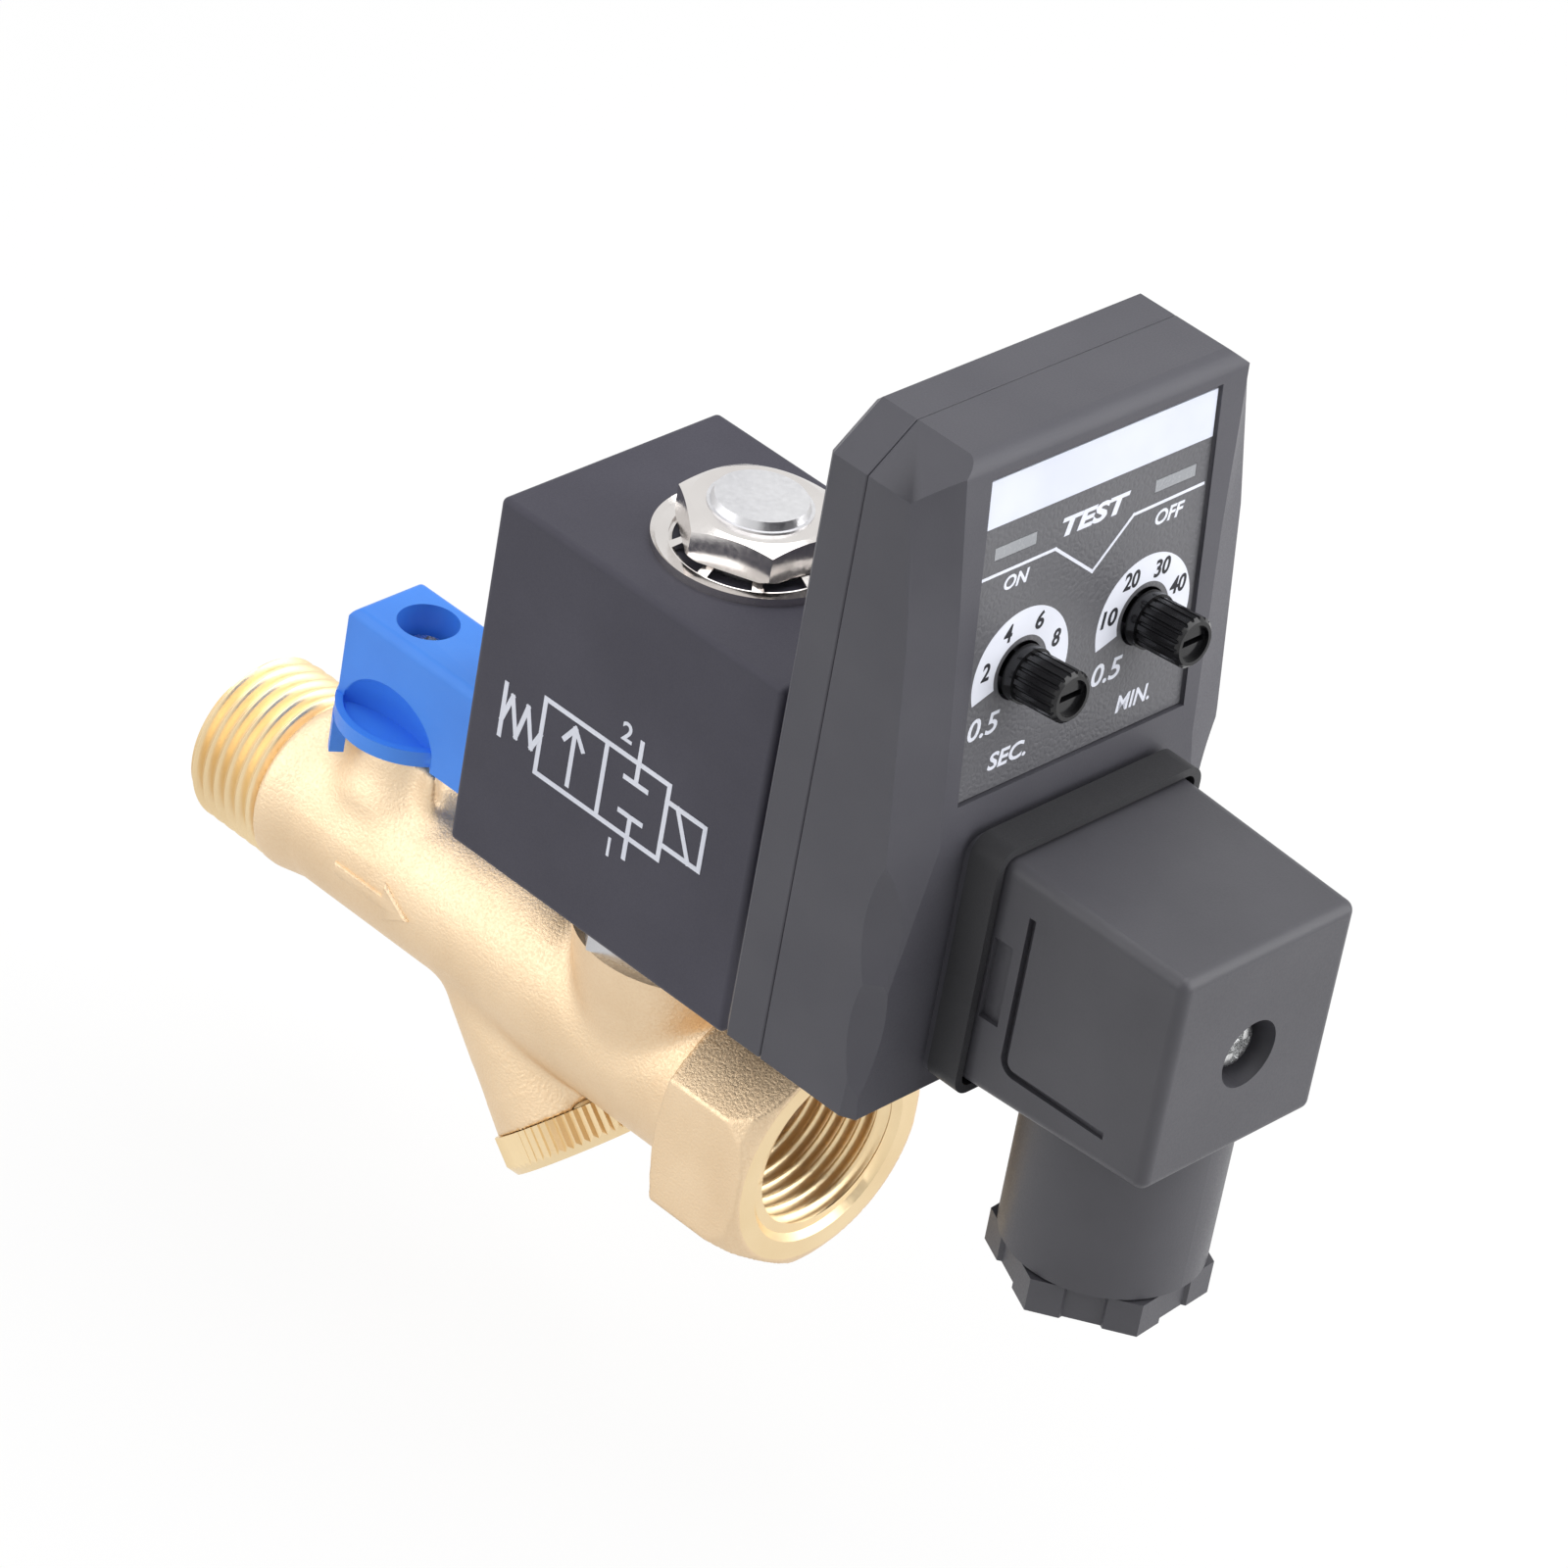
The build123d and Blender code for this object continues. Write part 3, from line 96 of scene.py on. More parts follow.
surround = bpy.data.worlds.new("surround")
surround.use_nodes = True
scene.world = surround
tree = surround.node_tree
fill = tree.nodes["Background"]
fill.inputs["Color"].default_value = (1, 1, 1, 1)
fill.inputs["Strength"].default_value = 0.3
bright, pick = branch_nodes(tree, "Background", "MixShader")
bright.inputs["Color"].default_value = (1, 1, 1, 1)
tree.links.new(seen_directly(tree), pick.inputs[0])
tree.links.new(fill.outputs[0], pick.inputs[1])
tree.links.new(bright.outputs[0], pick.inputs[2])
tree.links.new(pick.outputs[0], tree.nodes["World Output"].inputs["Surface"])

paper = bpy.data.materials.new("pale floor")
paper.use_nodes = True
tree = paper.node_tree
matt = tree.nodes["Principled BSDF"]
matt.inputs["Base Color"].default_value = (0.92, 0.92, 0.92, 1)
matt.inputs["Roughness"].default_value = 0.9
matt.inputs["Specular IOR Level"].default_value = 0.1
glow, soften, share = branch_nodes(tree, "Emission", "MixShader", "Math")
glow.inputs["Color"].default_value = (1, 1, 1, 1)
share.operation = "MULTIPLY"
share.inputs[1].default_value = 0.86
tree.links.new(seen_directly(tree), share.inputs[0])
tree.links.new(share.outputs[0], soften.inputs[0])
tree.links.new(matt.outputs[0], soften.inputs[1])
tree.links.new(glow.outputs[0], soften.inputs[2])
tree.links.new(soften.outputs[0], tree.nodes["Material Output"].inputs["Surface"])

floor_half = 3
strainer_room = 18 * mm
sheet = bmesh.new()
bmesh.ops.create_grid(sheet, x_segments=1, y_segments=1, size=floor_half)
bmesh.ops.translate(sheet, verts=sheet.verts, vec=(0, 0, cad_box[0][2] - strainer_room))
floor_mesh = bpy.data.meshes.new("floor")
sheet.to_mesh(floor_mesh)
sheet.free()
floor_mesh.materials.append(paper)
floor = bpy.data.objects.new("floor", floor_mesh)
scene.collection.objects.link(floor)


def lamp(name, place, aim, size, power):
    """A soft square lamp at a place, pointed at another."""
    light = bpy.data.lights.new(name, "AREA")
    light.size = size
    light.energy = power
    holder = bpy.data.objects.new(name, light)
    holder.location = place
    holder.rotation_euler = (Vector(aim) - Vector(place)).to_track_quat("-Z", "Y").to_euler()
    scene.collection.objects.link(holder)


lamp("right lamp", (0.66, 0.42, 0.42), (0, 0, 0.05), 1.0, 8.4)
lamp("left lamp", (-0.55, -0.74, 0.52), (-0.02, 0, 0.03), 1.1, 4.9)
lamp("top lamp", (0.0, 0.10, 0.95), (0, 0, 0.05), 0.9, 5.2)

lens = bpy.data.cameras.new("camera")
lens.sensor_width = 36
lens.lens = 172.87
lens.clip_end = 10
camera = bpy.data.objects.new("camera", lens)
camera.location = (0.40517, -0.51618, 0.48641)
camera.rotation_euler = (radians(55.699), radians(-8.660), radians(45.046))
scene.collection.objects.link(camera)
scene.camera = camera
scene.view_settings.view_transform = "Standard"

# ------------------------------------------------------------------ cast brass body
# A sand-cast brass body, shot-blasted to a pale sandy skin, whose pipe, boss, strainer branch
# and stem boss run into each other in soft fillets. Its flow arrow is cast proud of the side.


def noise_at(tree, place, size, detail=2.0):
    """A noise texture whose lumps are about as large as size, in metres."""
    noise, = branch_nodes(tree, "TexNoise")
    noise.inputs["Scale"].default_value = 1 / size
    noise.inputs["Detail"].default_value = detail
    tree.links.new(place, noise.inputs["Vector"])
    return noise.outputs[0]


def between(tree, factor, low, high):
    """Values from low to high as a factor runs over the middle of a noise's range."""
    spread, = branch_nodes(tree, "MapRange")
    spread.inputs["From Min"].default_value = 0.3
    spread.inputs["From Max"].default_value = 0.7
    spread.inputs["To Min"].default_value = low
    spread.inputs["To Max"].default_value = high
    tree.links.new(factor, spread.inputs["Value"])
    return spread.outputs["Result"]


def blend_colours(tree, factor, first, second):
    """A colour between two others."""
    mix, = branch_nodes(tree, "Mix")
    mix.data_type = "RGBA"
    mix.inputs[6].default_value = (*first, 1)
    mix.inputs[7].default_value = (*second, 1)
    tree.links.new(factor, mix.inputs[0])
    return mix.outputs[2]


def finish(name, dark, light, grain, relief, rough, patch=12 * mm, metal=0.0, specular=0.4):
    """A finish with a fine grain that sets relief and gloss, and broad patches that set colour."""
    made = bpy.data.materials.new(name)
    made.use_nodes = True
    tree = made.node_tree
    shader = tree.nodes["Principled BSDF"]
    shader.inputs["Metallic"].default_value = metal
    shader.inputs["Specular IOR Level"].default_value = specular
    place, bump = branch_nodes(tree, "TexCoord", "Bump")
    fine = noise_at(tree, place.outputs["Object"], grain)
    broad = noise_at(tree, place.outputs["Object"], patch, 3.0)
    tree.links.new(blend_colours(tree, between(tree, broad, 0, 1), dark, light),
                   shader.inputs["Base Color"])
    tree.links.new(between(tree, fine, *rough), shader.inputs["Roughness"])
    bump.inputs["Distance"].default_value = relief
    tree.links.new(fine, bump.inputs["Height"])
    tree.links.new(bump.outputs["Normal"], shader.inputs["Normal"])
    return made


finished = set()
weld = 0.002 * mm


def dress(material, *names):
    """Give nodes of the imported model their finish, and note that they have it."""
    for name in names:
        finished.add(name)
        for place in nodes[name].material_slots:
            place.material = material


def merged_copy(name):
    """A bmesh of a node's form, with its loose triangles joined into one skin."""
    shape = bmesh.new()
    shape.from_mesh(nodes[name].data)
    bmesh.ops.remove_doubles(shape, verts=shape.verts, dist=weld)
    return shape


def model(name, shape, material, body, smooth=35, level=False):
    """Make a piece from a bmesh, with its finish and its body.

    A level piece keeps its flats flat beside its rounded edges.
    """
    mesh = bpy.data.meshes.new(name)
    shape.to_mesh(mesh)
    shape.free()
    mesh.materials.append(material)
    mesh.polygons.foreach_set("use_smooth", [True] * len(mesh.polygons))
    mesh.set_sharp_from_angle(angle=radians(smooth))
    piece = bpy.data.objects.new(name, mesh)
    scene.collection.objects.link(piece)
    if level:
        piece.modifiers.new("flat faces", "WEIGHTED_NORMAL").keep_sharp = True
    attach(piece, body)
    return piece


def remeshed(shape, voxel):
    """The same form as an even net of small faces."""
    mesh = bpy.data.meshes.new("rough form")
    shape.to_mesh(mesh)
    shape.free()
    block = bpy.data.objects.new("rough form", mesh)
    scene.collection.objects.link(block)
    net = block.modifiers.new("net", "REMESH")
    net.mode = "VOXEL"
    net.voxel_size = voxel
    even = bmesh.new()
    even.from_object(block, bpy.context.evaluated_depsgraph_get())
    bpy.data.objects.remove(block)
    return even


def points_along(shape, least_angle, spacing, wanted, convex=False):
    """A search tree of points along the hollow or the proud edges of a form, where wanted."""
    points = []
    for edge in shape.edges:
        if len(edge.link_faces) != 2 or edge.is_convex != convex:
            continue
        if edge.calc_face_angle(0) < least_angle or not wanted(edge.verts[0].co):
            continue
        first, last = edge.verts[0].co, edge.verts[1].co
        count = int((last - first).length / spacing) + 1
        points += [first.lerp(last, step / count) for step in range(count + 1)]
    found = KDTree(len(points))
    for index, point in enumerate(points):
        found.insert(point, index)
    found.balance()
    return found


mouth_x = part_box("valve_body")[1].x
pipe_r = 9.8 * mm
solenoid_x = -25.5 * mm
boss_top = 15.0 * mm
boss_reach = 14 * mm
chamber_reach = 10.5 * mm
stem_x = -69.8 * mm
stem_root_reach = 11.5 * mm
thread_crest = 10.4775 * mm
mouth_chamfer = 0.8 * mm
mouth_slack = 0.1 * mm
unblended_mouth = 5 * mm
casting_net = 0.42 * mm
crease_angle = radians(18)
crease_spacing = 0.5 * mm
rim_angle = radians(30)
rim_spacing = 0.08 * mm
rim_reach = 0.34 * mm
fillet_reach = 2.6 * mm
fillet_rounds = 34
stem_fillet_reach = 5.0 * mm
stem_fillet_rounds = 60


def on_casting_outside(place):
    """Whether a point is on the outer skin, and neither in a bore nor under the coil."""
    in_bore = hypot(place.y, place.z) < pipe_r - 0.6 * mm
    in_chamber = place.z > 0 and hypot(place.x - solenoid_x, place.y) < chamber_reach
    return not in_bore and not in_chamber and place.x < mouth_x - unblended_mouth


def on_boss_rim(place):
    """Whether a point is on the machined top of the solenoid's boss."""
    off_axis = hypot(place.x - solenoid_x, place.y)
    return place.z > boss_top - 0.2 * mm and off_axis < boss_reach


rough_body = merged_copy("valve_body")
creases = points_along(rough_body, crease_angle, crease_spacing, on_casting_outside)
rims = points_along(rough_body, rim_angle, rim_spacing, on_boss_rim, convex=True)
true_skin = BVHTree.FromBMesh(rough_body)
casting = remeshed(rough_body, casting_net)

# The net goes back onto the true skin and onto the boss's rim, and only then are the hollow
# edges blended, longest round the stem boss.
by_crease, by_stem = [], []
for corner in casting.verts:
    corner.co = true_skin.find_nearest(corner.co)[0]
    rim, _, off_rim = rims.find(corner.co)
    off_crease = creases.find(corner.co)[2]
    off_stem = hypot(corner.co.x - stem_x, corner.co.y)
    if off_rim < rim_reach:
        corner.co = rim
    elif off_stem < stem_root_reach and corner.co.z > 0 and off_crease < stem_fillet_reach:
        by_stem.append(corner)
    elif off_crease < fillet_reach:
        by_crease.append(corner)
for corners, rounds in ((by_crease + by_stem, fillet_rounds), (by_stem, stem_fillet_rounds)):
    for _ in range(rounds):
        bmesh.ops.smooth_vert(casting, verts=corners, factor=0.5, use_axis_x=True,
                              use_axis_y=True, use_axis_z=True)

# The mouth opens in a cone just behind the turned one that the outlet thread brings.
for corner in casting.verts:
    radius = hypot(corner.co.y, corner.co.z)
    inward = corner.co.x - (mouth_x - mouth_chamfer - mouth_slack)
    if inward > 0 and radius < thread_crest + inward + mouth_slack:
        grown = (thread_crest + inward + mouth_slack) / radius
        corner.co.y *= grown
        corner.co.z *= grown

cast_brass = finish("cast brass", (0.77, 0.59, 0.39), (0.85, 0.67, 0.46), 0.32 * mm, 0.075 * mm,
                    (0.44, 0.62), metal=1.0)
body_skin = model("cast_body", casting, cast_brass, "valve", smooth=60)
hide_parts("valve_body")

arrow_rise = 0.35 * mm
arrow_stock = 1.0 * mm
arrow_break = 0.3 * mm
arrow = bmesh.new()
arrow_outline = ((-69.4, -1.0), (-69.4, 0.7), (-61.6, 0.7), (-61.6, 2.4), (-57.0, -0.2),
                 (-61.6, -2.8), (-61.6, -1.0))
arrow_face = arrow.faces.new([arrow.verts.new((x * mm, s * mm, 0)) for x, s in arrow_outline])
raised = bmesh.ops.extrude_face_region(arrow, geom=[arrow_face])["geom"]
bmesh.ops.translate(arrow, vec=(0, 0, arrow_stock),
                    verts=[item for item in raised if isinstance(item, bmesh.types.BMVert)])
bmesh.ops.recalc_face_normals(arrow, faces=arrow.faces)
top_edges = [edge for edge in arrow.edges
             if all(end.co.z > arrow_stock / 2 for end in edge.verts)]
bmesh.ops.bevel(arrow, geom=top_edges, offset=arrow_break, segments=2, profile=0.5,
                affect="EDGES", material=-1)
for corner in arrow.verts:
    around = corner.co.y / pipe_r
    out = pipe_r + corner.co.z - (arrow_stock - arrow_rise)
    corner.co = (corner.co.x, -out * cos(around), out * sin(around))
bmesh.ops.recalc_face_normals(arrow, faces=arrow.faces)
model("flow_arrow", arrow, cast_brass, "valve")

# ------------------------------------------------------------------ inlet nipple
# A turned brass nipple with a G 1/2 thread, screwed into the casting. The thread is a real
# helix: a few pitches of profile spun once round while they move along by one pitch.

thread_pitch = 1.814 * mm
thread_depth = 1.162 * mm
thread_steps = 96


def thread_profile(start, count, crest, root):
    """Points along X of a rounded thread form, from a start, as (x, radius)."""
    points = []
    shares = ((0.0, 0.0), (0.08, 0.06), (0.18, 0.3), (0.32, 0.7), (0.42, 0.94), (0.5, 1.0),
              (0.58, 0.94), (0.68, 0.7), (0.82, 0.3), (0.92, 0.06))
    for turn in range(count):
        for along, up in shares:
            points.append((start + (turn + along) * thread_pitch, root + up * (crest - root)))
    return points


def threaded_sleeve(x0, x1, crest, root):
    """An open sleeve with a helical thread along X, cut square at both ends."""
    shape = bmesh.new()
    count = int((x1 - x0) / thread_pitch) + 4
    previous = None
    for x, radius in thread_profile(x0 - 2 * thread_pitch, count, crest, root):
        corner = shape.verts.new((x, 0, radius))
        if previous:
            shape.edges.new((previous, corner))
        previous = corner
    bmesh.ops.spin(shape, geom=shape.verts[:] + shape.edges[:], cent=(0, 0, 0), axis=(1, 0, 0),
                   dvec=(thread_pitch / thread_steps, 0, 0), angle=2 * pi, steps=thread_steps)
    bmesh.ops.remove_doubles(shape, verts=shape.verts, dist=weld)
    for x, side in ((x0, -1), (x1, 1)):
        bmesh.ops.bisect_plane(shape, geom=shape.verts[:] + shape.edges[:] + shape.faces[:],
                               plane_co=(x, 0, 0), plane_no=(side, 0, 0), clear_outer=True)
    return shape


def edges_at(shape, x):
    """The open edges of a shape that lie in one plane across X."""
    return [edge for edge in shape.edges if edge.is_boundary
            and all(abs(corner.co.x - x) < 0.005 * mm for corner in edge.verts)]


def lathe(shape, loop, stations):
    """Carry an open loop of edges through (x, radius) stations, one after another."""
    for x, radius in stations:
        grown = bmesh.ops.extrude_edge_only(shape, edges=loop)["geom"]
        corners = {item for item in grown if isinstance(item, bmesh.types.BMVert)}
        for corner in corners:
            share = radius / hypot(corner.co.y, corner.co.z)
            corner.co = (x, corner.co.y * share, corner.co.z * share)
        loop = [item for item in grown if isinstance(item, bmesh.types.BMEdge)
                and corners.issuperset(item.verts)]
    return loop


nipple_low, nipple_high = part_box("inlet_nipple")
inlet_x = nipple_low.x
nipple_end = nipple_high.x
shoulder_x = inlet_x + 11.1 * mm
foot_x = nipple_end - 1.4 * mm
lead_in = 1.0 * mm
rim_radius = 8.2 * mm
shank_radius = 8.3 * mm
foot_radius = 7.4 * mm
bore_radius = 4.6 * mm
bore_radius_open = 5.4 * mm
bore_break = 0.4 * mm

nipple = threaded_sleeve(inlet_x, shoulder_x, thread_crest, thread_crest - thread_depth)
for corner in nipple.verts:
    allowed = thread_crest - lead_in + (corner.co.x - inlet_x)
    radius = hypot(corner.co.y, corner.co.z)
    if radius > allowed:
        corner.co.y *= allowed / radius
        corner.co.z *= allowed / radius
front = lathe(nipple, edges_at(nipple, inlet_x), [
    (inlet_x, rim_radius), (inlet_x, bore_radius_open + bore_break),
    (inlet_x + 0.5 * mm, bore_radius_open), (inlet_x + 2.5 * mm, bore_radius),
    (nipple_end, bore_radius)])
back = lathe(nipple, edges_at(nipple, shoulder_x), [
    (shoulder_x, shank_radius), (foot_x, shank_radius),
    (foot_x, foot_radius), (nipple_end, foot_radius)])
bmesh.ops.triangle_fill(nipple, use_beauty=True, edges=front + back)
bmesh.ops.recalc_face_normals(nipple, faces=nipple.faces)

machined_brass = finish("machined brass", (0.82, 0.63, 0.37), (0.90, 0.72, 0.45), 0.25 * mm,
                        0.004 * mm, (0.30, 0.42), metal=1.0)
inlet = model("threaded_inlet", nipple, machined_brass, "valve")
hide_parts("inlet_nipple")

# ------------------------------------------------------------------ outlet thread
# The G 1/2 thread tapped in the outlet's mouth, about seven turns deep, with the mouth's
# bright turned chamfer and face.

thread_start = mouth_x - mouth_chamfer
thread_end = mouth_x - 12.3 * mm
face_x = mouth_x + 0.02 * mm
face_radius = 13.5 * mm
face_edge_radius = 13.95 * mm
outlet = threaded_sleeve(thread_end, thread_start, thread_crest, thread_crest - thread_depth)
lathe(outlet, edges_at(outlet, thread_start), [
    (thread_start + mouth_slack, thread_crest + mouth_slack),
    (face_x, thread_crest + mouth_chamfer), (face_x, face_radius),
    (mouth_x - 0.3 * mm, face_edge_radius)])
bmesh.ops.recalc_face_normals(outlet, faces=outlet.faces)
model("outlet_thread", outlet, machined_brass, "valve")
dress(machined_brass, "strainer_cap", "packing_nut", "ball_stem")

# ------------------------------------------------------------------ blue handle
# A lever moulded in blue nylon, with soft edges, a finger scoop in each side and a stop skirt,
# held on the stem by a plated cross-head screw in its recess. The plug's long screw is alike.


def softened(name, *roundings):
    """A node's form with edges rounded, by (radius, least angle, test of a place) in turn."""
    shape = merged_copy(name)
    bmesh.ops.dissolve_limit(shape, angle_limit=radians(0.4), verts=shape.verts,
                             edges=shape.edges)
    for radius, least_angle, wanted in roundings:
        edges = [edge for edge in shape.edges
                 if len(edge.link_faces) == 2 and edge.is_convex
                 and edge.calc_face_angle(0) > radians(least_angle)
                 and all(wanted(end.co / mm) for end in edge.verts)]
        bmesh.ops.bevel(shape, geom=edges, offset=radius, offset_type="OFFSET", segments=3,
                        profile=0.5, affect="EDGES", material=-1, clamp_overlap=True)
    return shape


def screw_crown(name, place, radius, rise, body):
    """The domed head of a cross-recessed screw, made along Z and put on a plain screw's head."""
    shape = bmesh.new()
    rings = 20
    corners = [shape.verts.new((radius, 0, 0))]
    for ring in range(rings, -1, -1):
        out = ring / rings
        dome = 0.3 + 0.7 * (1 - out ** 4) ** 0.5
        corners.append(shape.verts.new((radius * out, 0, rise * dome)))
    edges = [shape.edges.new(pair) for pair in zip(corners, corners[1:])]
    bmesh.ops.spin(shape, geom=corners + edges, cent=(0, 0, 0), axis=(0, 0, 1), dvec=(0, 0, 0),
                   angle=2 * pi, steps=96, use_merge=True)
    bmesh.ops.remove_doubles(shape, verts=shape.verts, dist=weld)
    bmesh.ops.holes_fill(shape, edges=[edge for edge in shape.edges if edge.is_boundary])
    for corner in shape.verts:
        along, across = sorted((abs(corner.co.x), abs(corner.co.y)), reverse=True)
        if across < 0.17 * radius and along < 0.62 * radius:
            corner.co.z -= 0.3 * radius
    bmesh.ops.transform(shape, matrix=place, verts=shape.verts)
    bmesh.ops.recalc_face_normals(shape, faces=shape.faces)
    return model(name, shape, plated_steel, body)


lever_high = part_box("handle")[1] / mm
lever_round = 0.35 * mm
lever_flank = 5.4
recess_clear = 4.2
screw_head_r = 2.95 * mm
head_sink = 0.05 * mm


def on_lever_top(place):
    """Whether a point, in millimetres, is on the lever's top edges, clear of its recess."""
    off_stem = hypot(place.x - stem_x / mm, place.y)
    return place.z > lever_high.z - 1.0 and off_stem > recess_clear


def on_lever_end(place):
    """Whether a point, in millimetres, is on the upright edges of the lever's long end."""
    return abs(place.x - lever_high.x) < 0.05 and abs(place.y) > lever_flank


handle_form = softened("handle", (lever_round, 40, on_lever_top), (lever_round, 80, on_lever_end))
blue_nylon = finish("blue nylon", (0.054, 0.240, 0.82), (0.064, 0.280, 0.90), 0.3 * mm,
                    0.008 * mm, (0.34, 0.46))
plated_steel = finish("plated screw steel", (0.62, 0.63, 0.64), (0.74, 0.74, 0.74), 0.4 * mm,
                      0.004 * mm, (0.18, 0.34), metal=1.0)
lever = model("soft_handle", handle_form, blue_nylon, "ball_and_handle",
              level=True)
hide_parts("handle")
dress(plated_steel, "handle_screw", "plug_screw")
head_top = Matrix.Translation((stem_x, 0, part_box("handle_screw")[1].z - head_sink))
screw_crown("handle_screw_crown", head_top @ Matrix.Rotation(radians(20), 4, "Z"), screw_head_r,
            2.4 * mm, "ball_and_handle")
screw_low, screw_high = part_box("plug_screw")
head_front = Matrix.Translation((screw_high.x - head_sink, 0, (screw_low.z + screw_high.z) / 2))
screw_crown("plug_screw_crown", head_front @ Matrix.Rotation(radians(90), 4, "Y"), screw_head_r,
            1.5 * mm, "cable_plug")

# ------------------------------------------------------------------ plating, seats and seals
# The finishes of the pieces inside the body: the plated ball between its two white seats, the
# steel strainer tube, and the rubber rings.

white_ptfe = finish("white ptfe", (0.80, 0.80, 0.78), (0.86, 0.86, 0.84), 0.4 * mm, 0.004 * mm,
                    (0.3, 0.4))
stainless = finish("stainless steel", (0.50, 0.50, 0.52), (0.60, 0.60, 0.61), 0.3 * mm,
                   0.004 * mm, (0.26, 0.4), metal=1.0)
nickel = finish("nickel plate", (0.68, 0.65, 0.63), (0.76, 0.73, 0.71), 0.6 * mm, 0.003 * mm,
                (0.12, 0.22), metal=1.0)
black_rubber = finish("black rubber", (0.012, 0.012, 0.014), (0.018, 0.018, 0.020), 0.2 * mm,
                      0.01 * mm, (0.6, 0.75), specular=0.25)

# ------------------------------------------------------------------ solenoid coil
# The coil is potted in dark grey epoxy with crisp edges and a silky moulded grain. Its side
# carries a printed valve symbol, and a spring washer and a plated nut hold it on the tube.

coil_epoxy = finish("coil encapsulation", (0.049, 0.047, 0.064), (0.058, 0.056, 0.075),
                    0.16 * mm, 0.010 * mm, (0.5, 0.64), specular=0.3)
print_white = finish("print white", (0.68, 0.70, 0.78), (0.76, 0.78, 0.86), 0.3 * mm,
                     0.002 * mm, (0.45, 0.6), specular=0.2)
dress(coil_epoxy, "coil_housing")


def on_coil_side():
    """A frame on the coil's side: right along the pipe, up, and out of the face."""
    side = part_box("coil_housing")[0].y
    return Matrix(((1, 0, 0, 0), (0, 0, -1, side), (0, 1, 0, 0), (0, 0, 0, 1)))


def printed_bar(sheet, place, first, last, width, depth):
    """A straight printed line between two points of a frame."""
    first, last = Vector(first) * mm, Vector(last) * mm
    along = last - first
    turn = Matrix.Rotation(along.angle_signed(Vector((1, 0))), 4, "Z")
    middle = (first + last) / 2
    size = Matrix.Diagonal((along.length + width, width, depth, 1))
    spot = Matrix.Translation((middle.x, middle.y, depth / 2))
    bmesh.ops.create_cube(sheet, size=1, matrix=place @ spot @ turn @ size)


def printed_word(sheet, place, words, left, right, low, high, depth, slant=0.0, weight=0.0):
    """A word printed between two limits across and two up a frame."""
    drawn = bpy.data.curves.new(words, "FONT")
    drawn.body = words
    drawn.shear = slant
    drawn.offset = weight
    drawn.extrude = 0.5
    drawn.resolution_u = 4
    holder = bpy.data.objects.new(words, drawn)
    scene.collection.objects.link(holder)
    mesh = bpy.data.meshes.new_from_object(
        holder.evaluated_get(bpy.context.evaluated_depsgraph_get()))
    bpy.data.objects.remove(holder)
    xs = [corner.co.x for corner in mesh.vertices]
    ys = [corner.co.y for corner in mesh.vertices]
    scale = Matrix.Diagonal(((right - left) * mm / (max(xs) - min(xs)),
                             (high - low) * mm / (max(ys) - min(ys)), depth, 1))
    mesh.transform(scale @ Matrix.Translation((-min(xs), -min(ys), 0.5)))
    mesh.transform(place @ Matrix.Translation((left * mm, low * mm, 0)))
    sheet.from_mesh(mesh)
    bpy.data.meshes.remove(mesh)


ink = 0.03 * mm
ink_step = 0.001 * mm
line = 0.62 * mm
side_place = on_coil_side()
symbol = bmesh.new()
valve_lines = [
    # the two boxes, side by side
    ((-36.4, 35.0), (-17.4, 35.0)), ((-36.4, 44.5), (-17.4, 44.5)),
    ((-36.4, 35.0), (-36.4, 44.5)), ((-26.9, 35.0), (-26.9, 44.5)), ((-17.4, 35.0), (-17.4, 44.5)),
    # the arrow of the open state
    ((-31.6, 36.2), (-31.6, 43.2)), ((-33.0, 41.4), (-31.6, 43.4)), ((-30.2, 41.4), (-31.6, 43.4)),
    # the two ports of the shut state, each blocked
    ((-22.1, 32.4), (-22.1, 37.6)), ((-23.7, 37.6), (-20.5, 37.6)),
    ((-22.1, 47.1), (-22.1, 41.9)), ((-23.7, 41.9), (-20.5, 41.9)),
    # the return spring
    ((-42.3, 36.5), (-42.3, 43.0)), ((-42.3, 38.5), (-41.1, 42.0)), ((-41.1, 42.0), (-39.9, 37.5)),
    ((-39.9, 37.5), (-38.7, 42.0)), ((-38.7, 42.0), (-37.5, 37.5)), ((-37.5, 37.5), (-36.4, 39.8)),
    # the solenoid
    ((-17.4, 37.0), (-11.6, 37.0)), ((-17.4, 42.5), (-11.6, 42.5)), ((-11.6, 37.0), (-11.6, 42.5)),
    ((-15.8, 42.5), (-13.2, 37.0)),
]
for index, (first, last) in enumerate(valve_lines):
    printed_bar(symbol, side_place, first, last, line, ink + index * ink_step)
printed_word(symbol, side_place, "1", -24.6, -24.2, 31.2, 33.6, ink, weight=0.02)
printed_word(symbol, side_place, "2", -25.2, -23.6, 46.0, 48.4, ink, weight=0.02)
model("coil_symbol", symbol, print_white, "valve")

dress(nickel, "coil_washer", "coil_nut")
dress(stainless, "armature_tube")
turned_steel = finish("turned steel", (0.60, 0.60, 0.62), (0.70, 0.70, 0.71), 0.5 * mm,
                      0.008 * mm, (0.28, 0.42), metal=1.0)
dress(turned_steel, "fixed_core")

# ------------------------------------------------------------------ timer housing
# Two ABS shells that meet in a fine dark line. The front one is facetted, with soft edges and
# a thumb scoop low in each side.

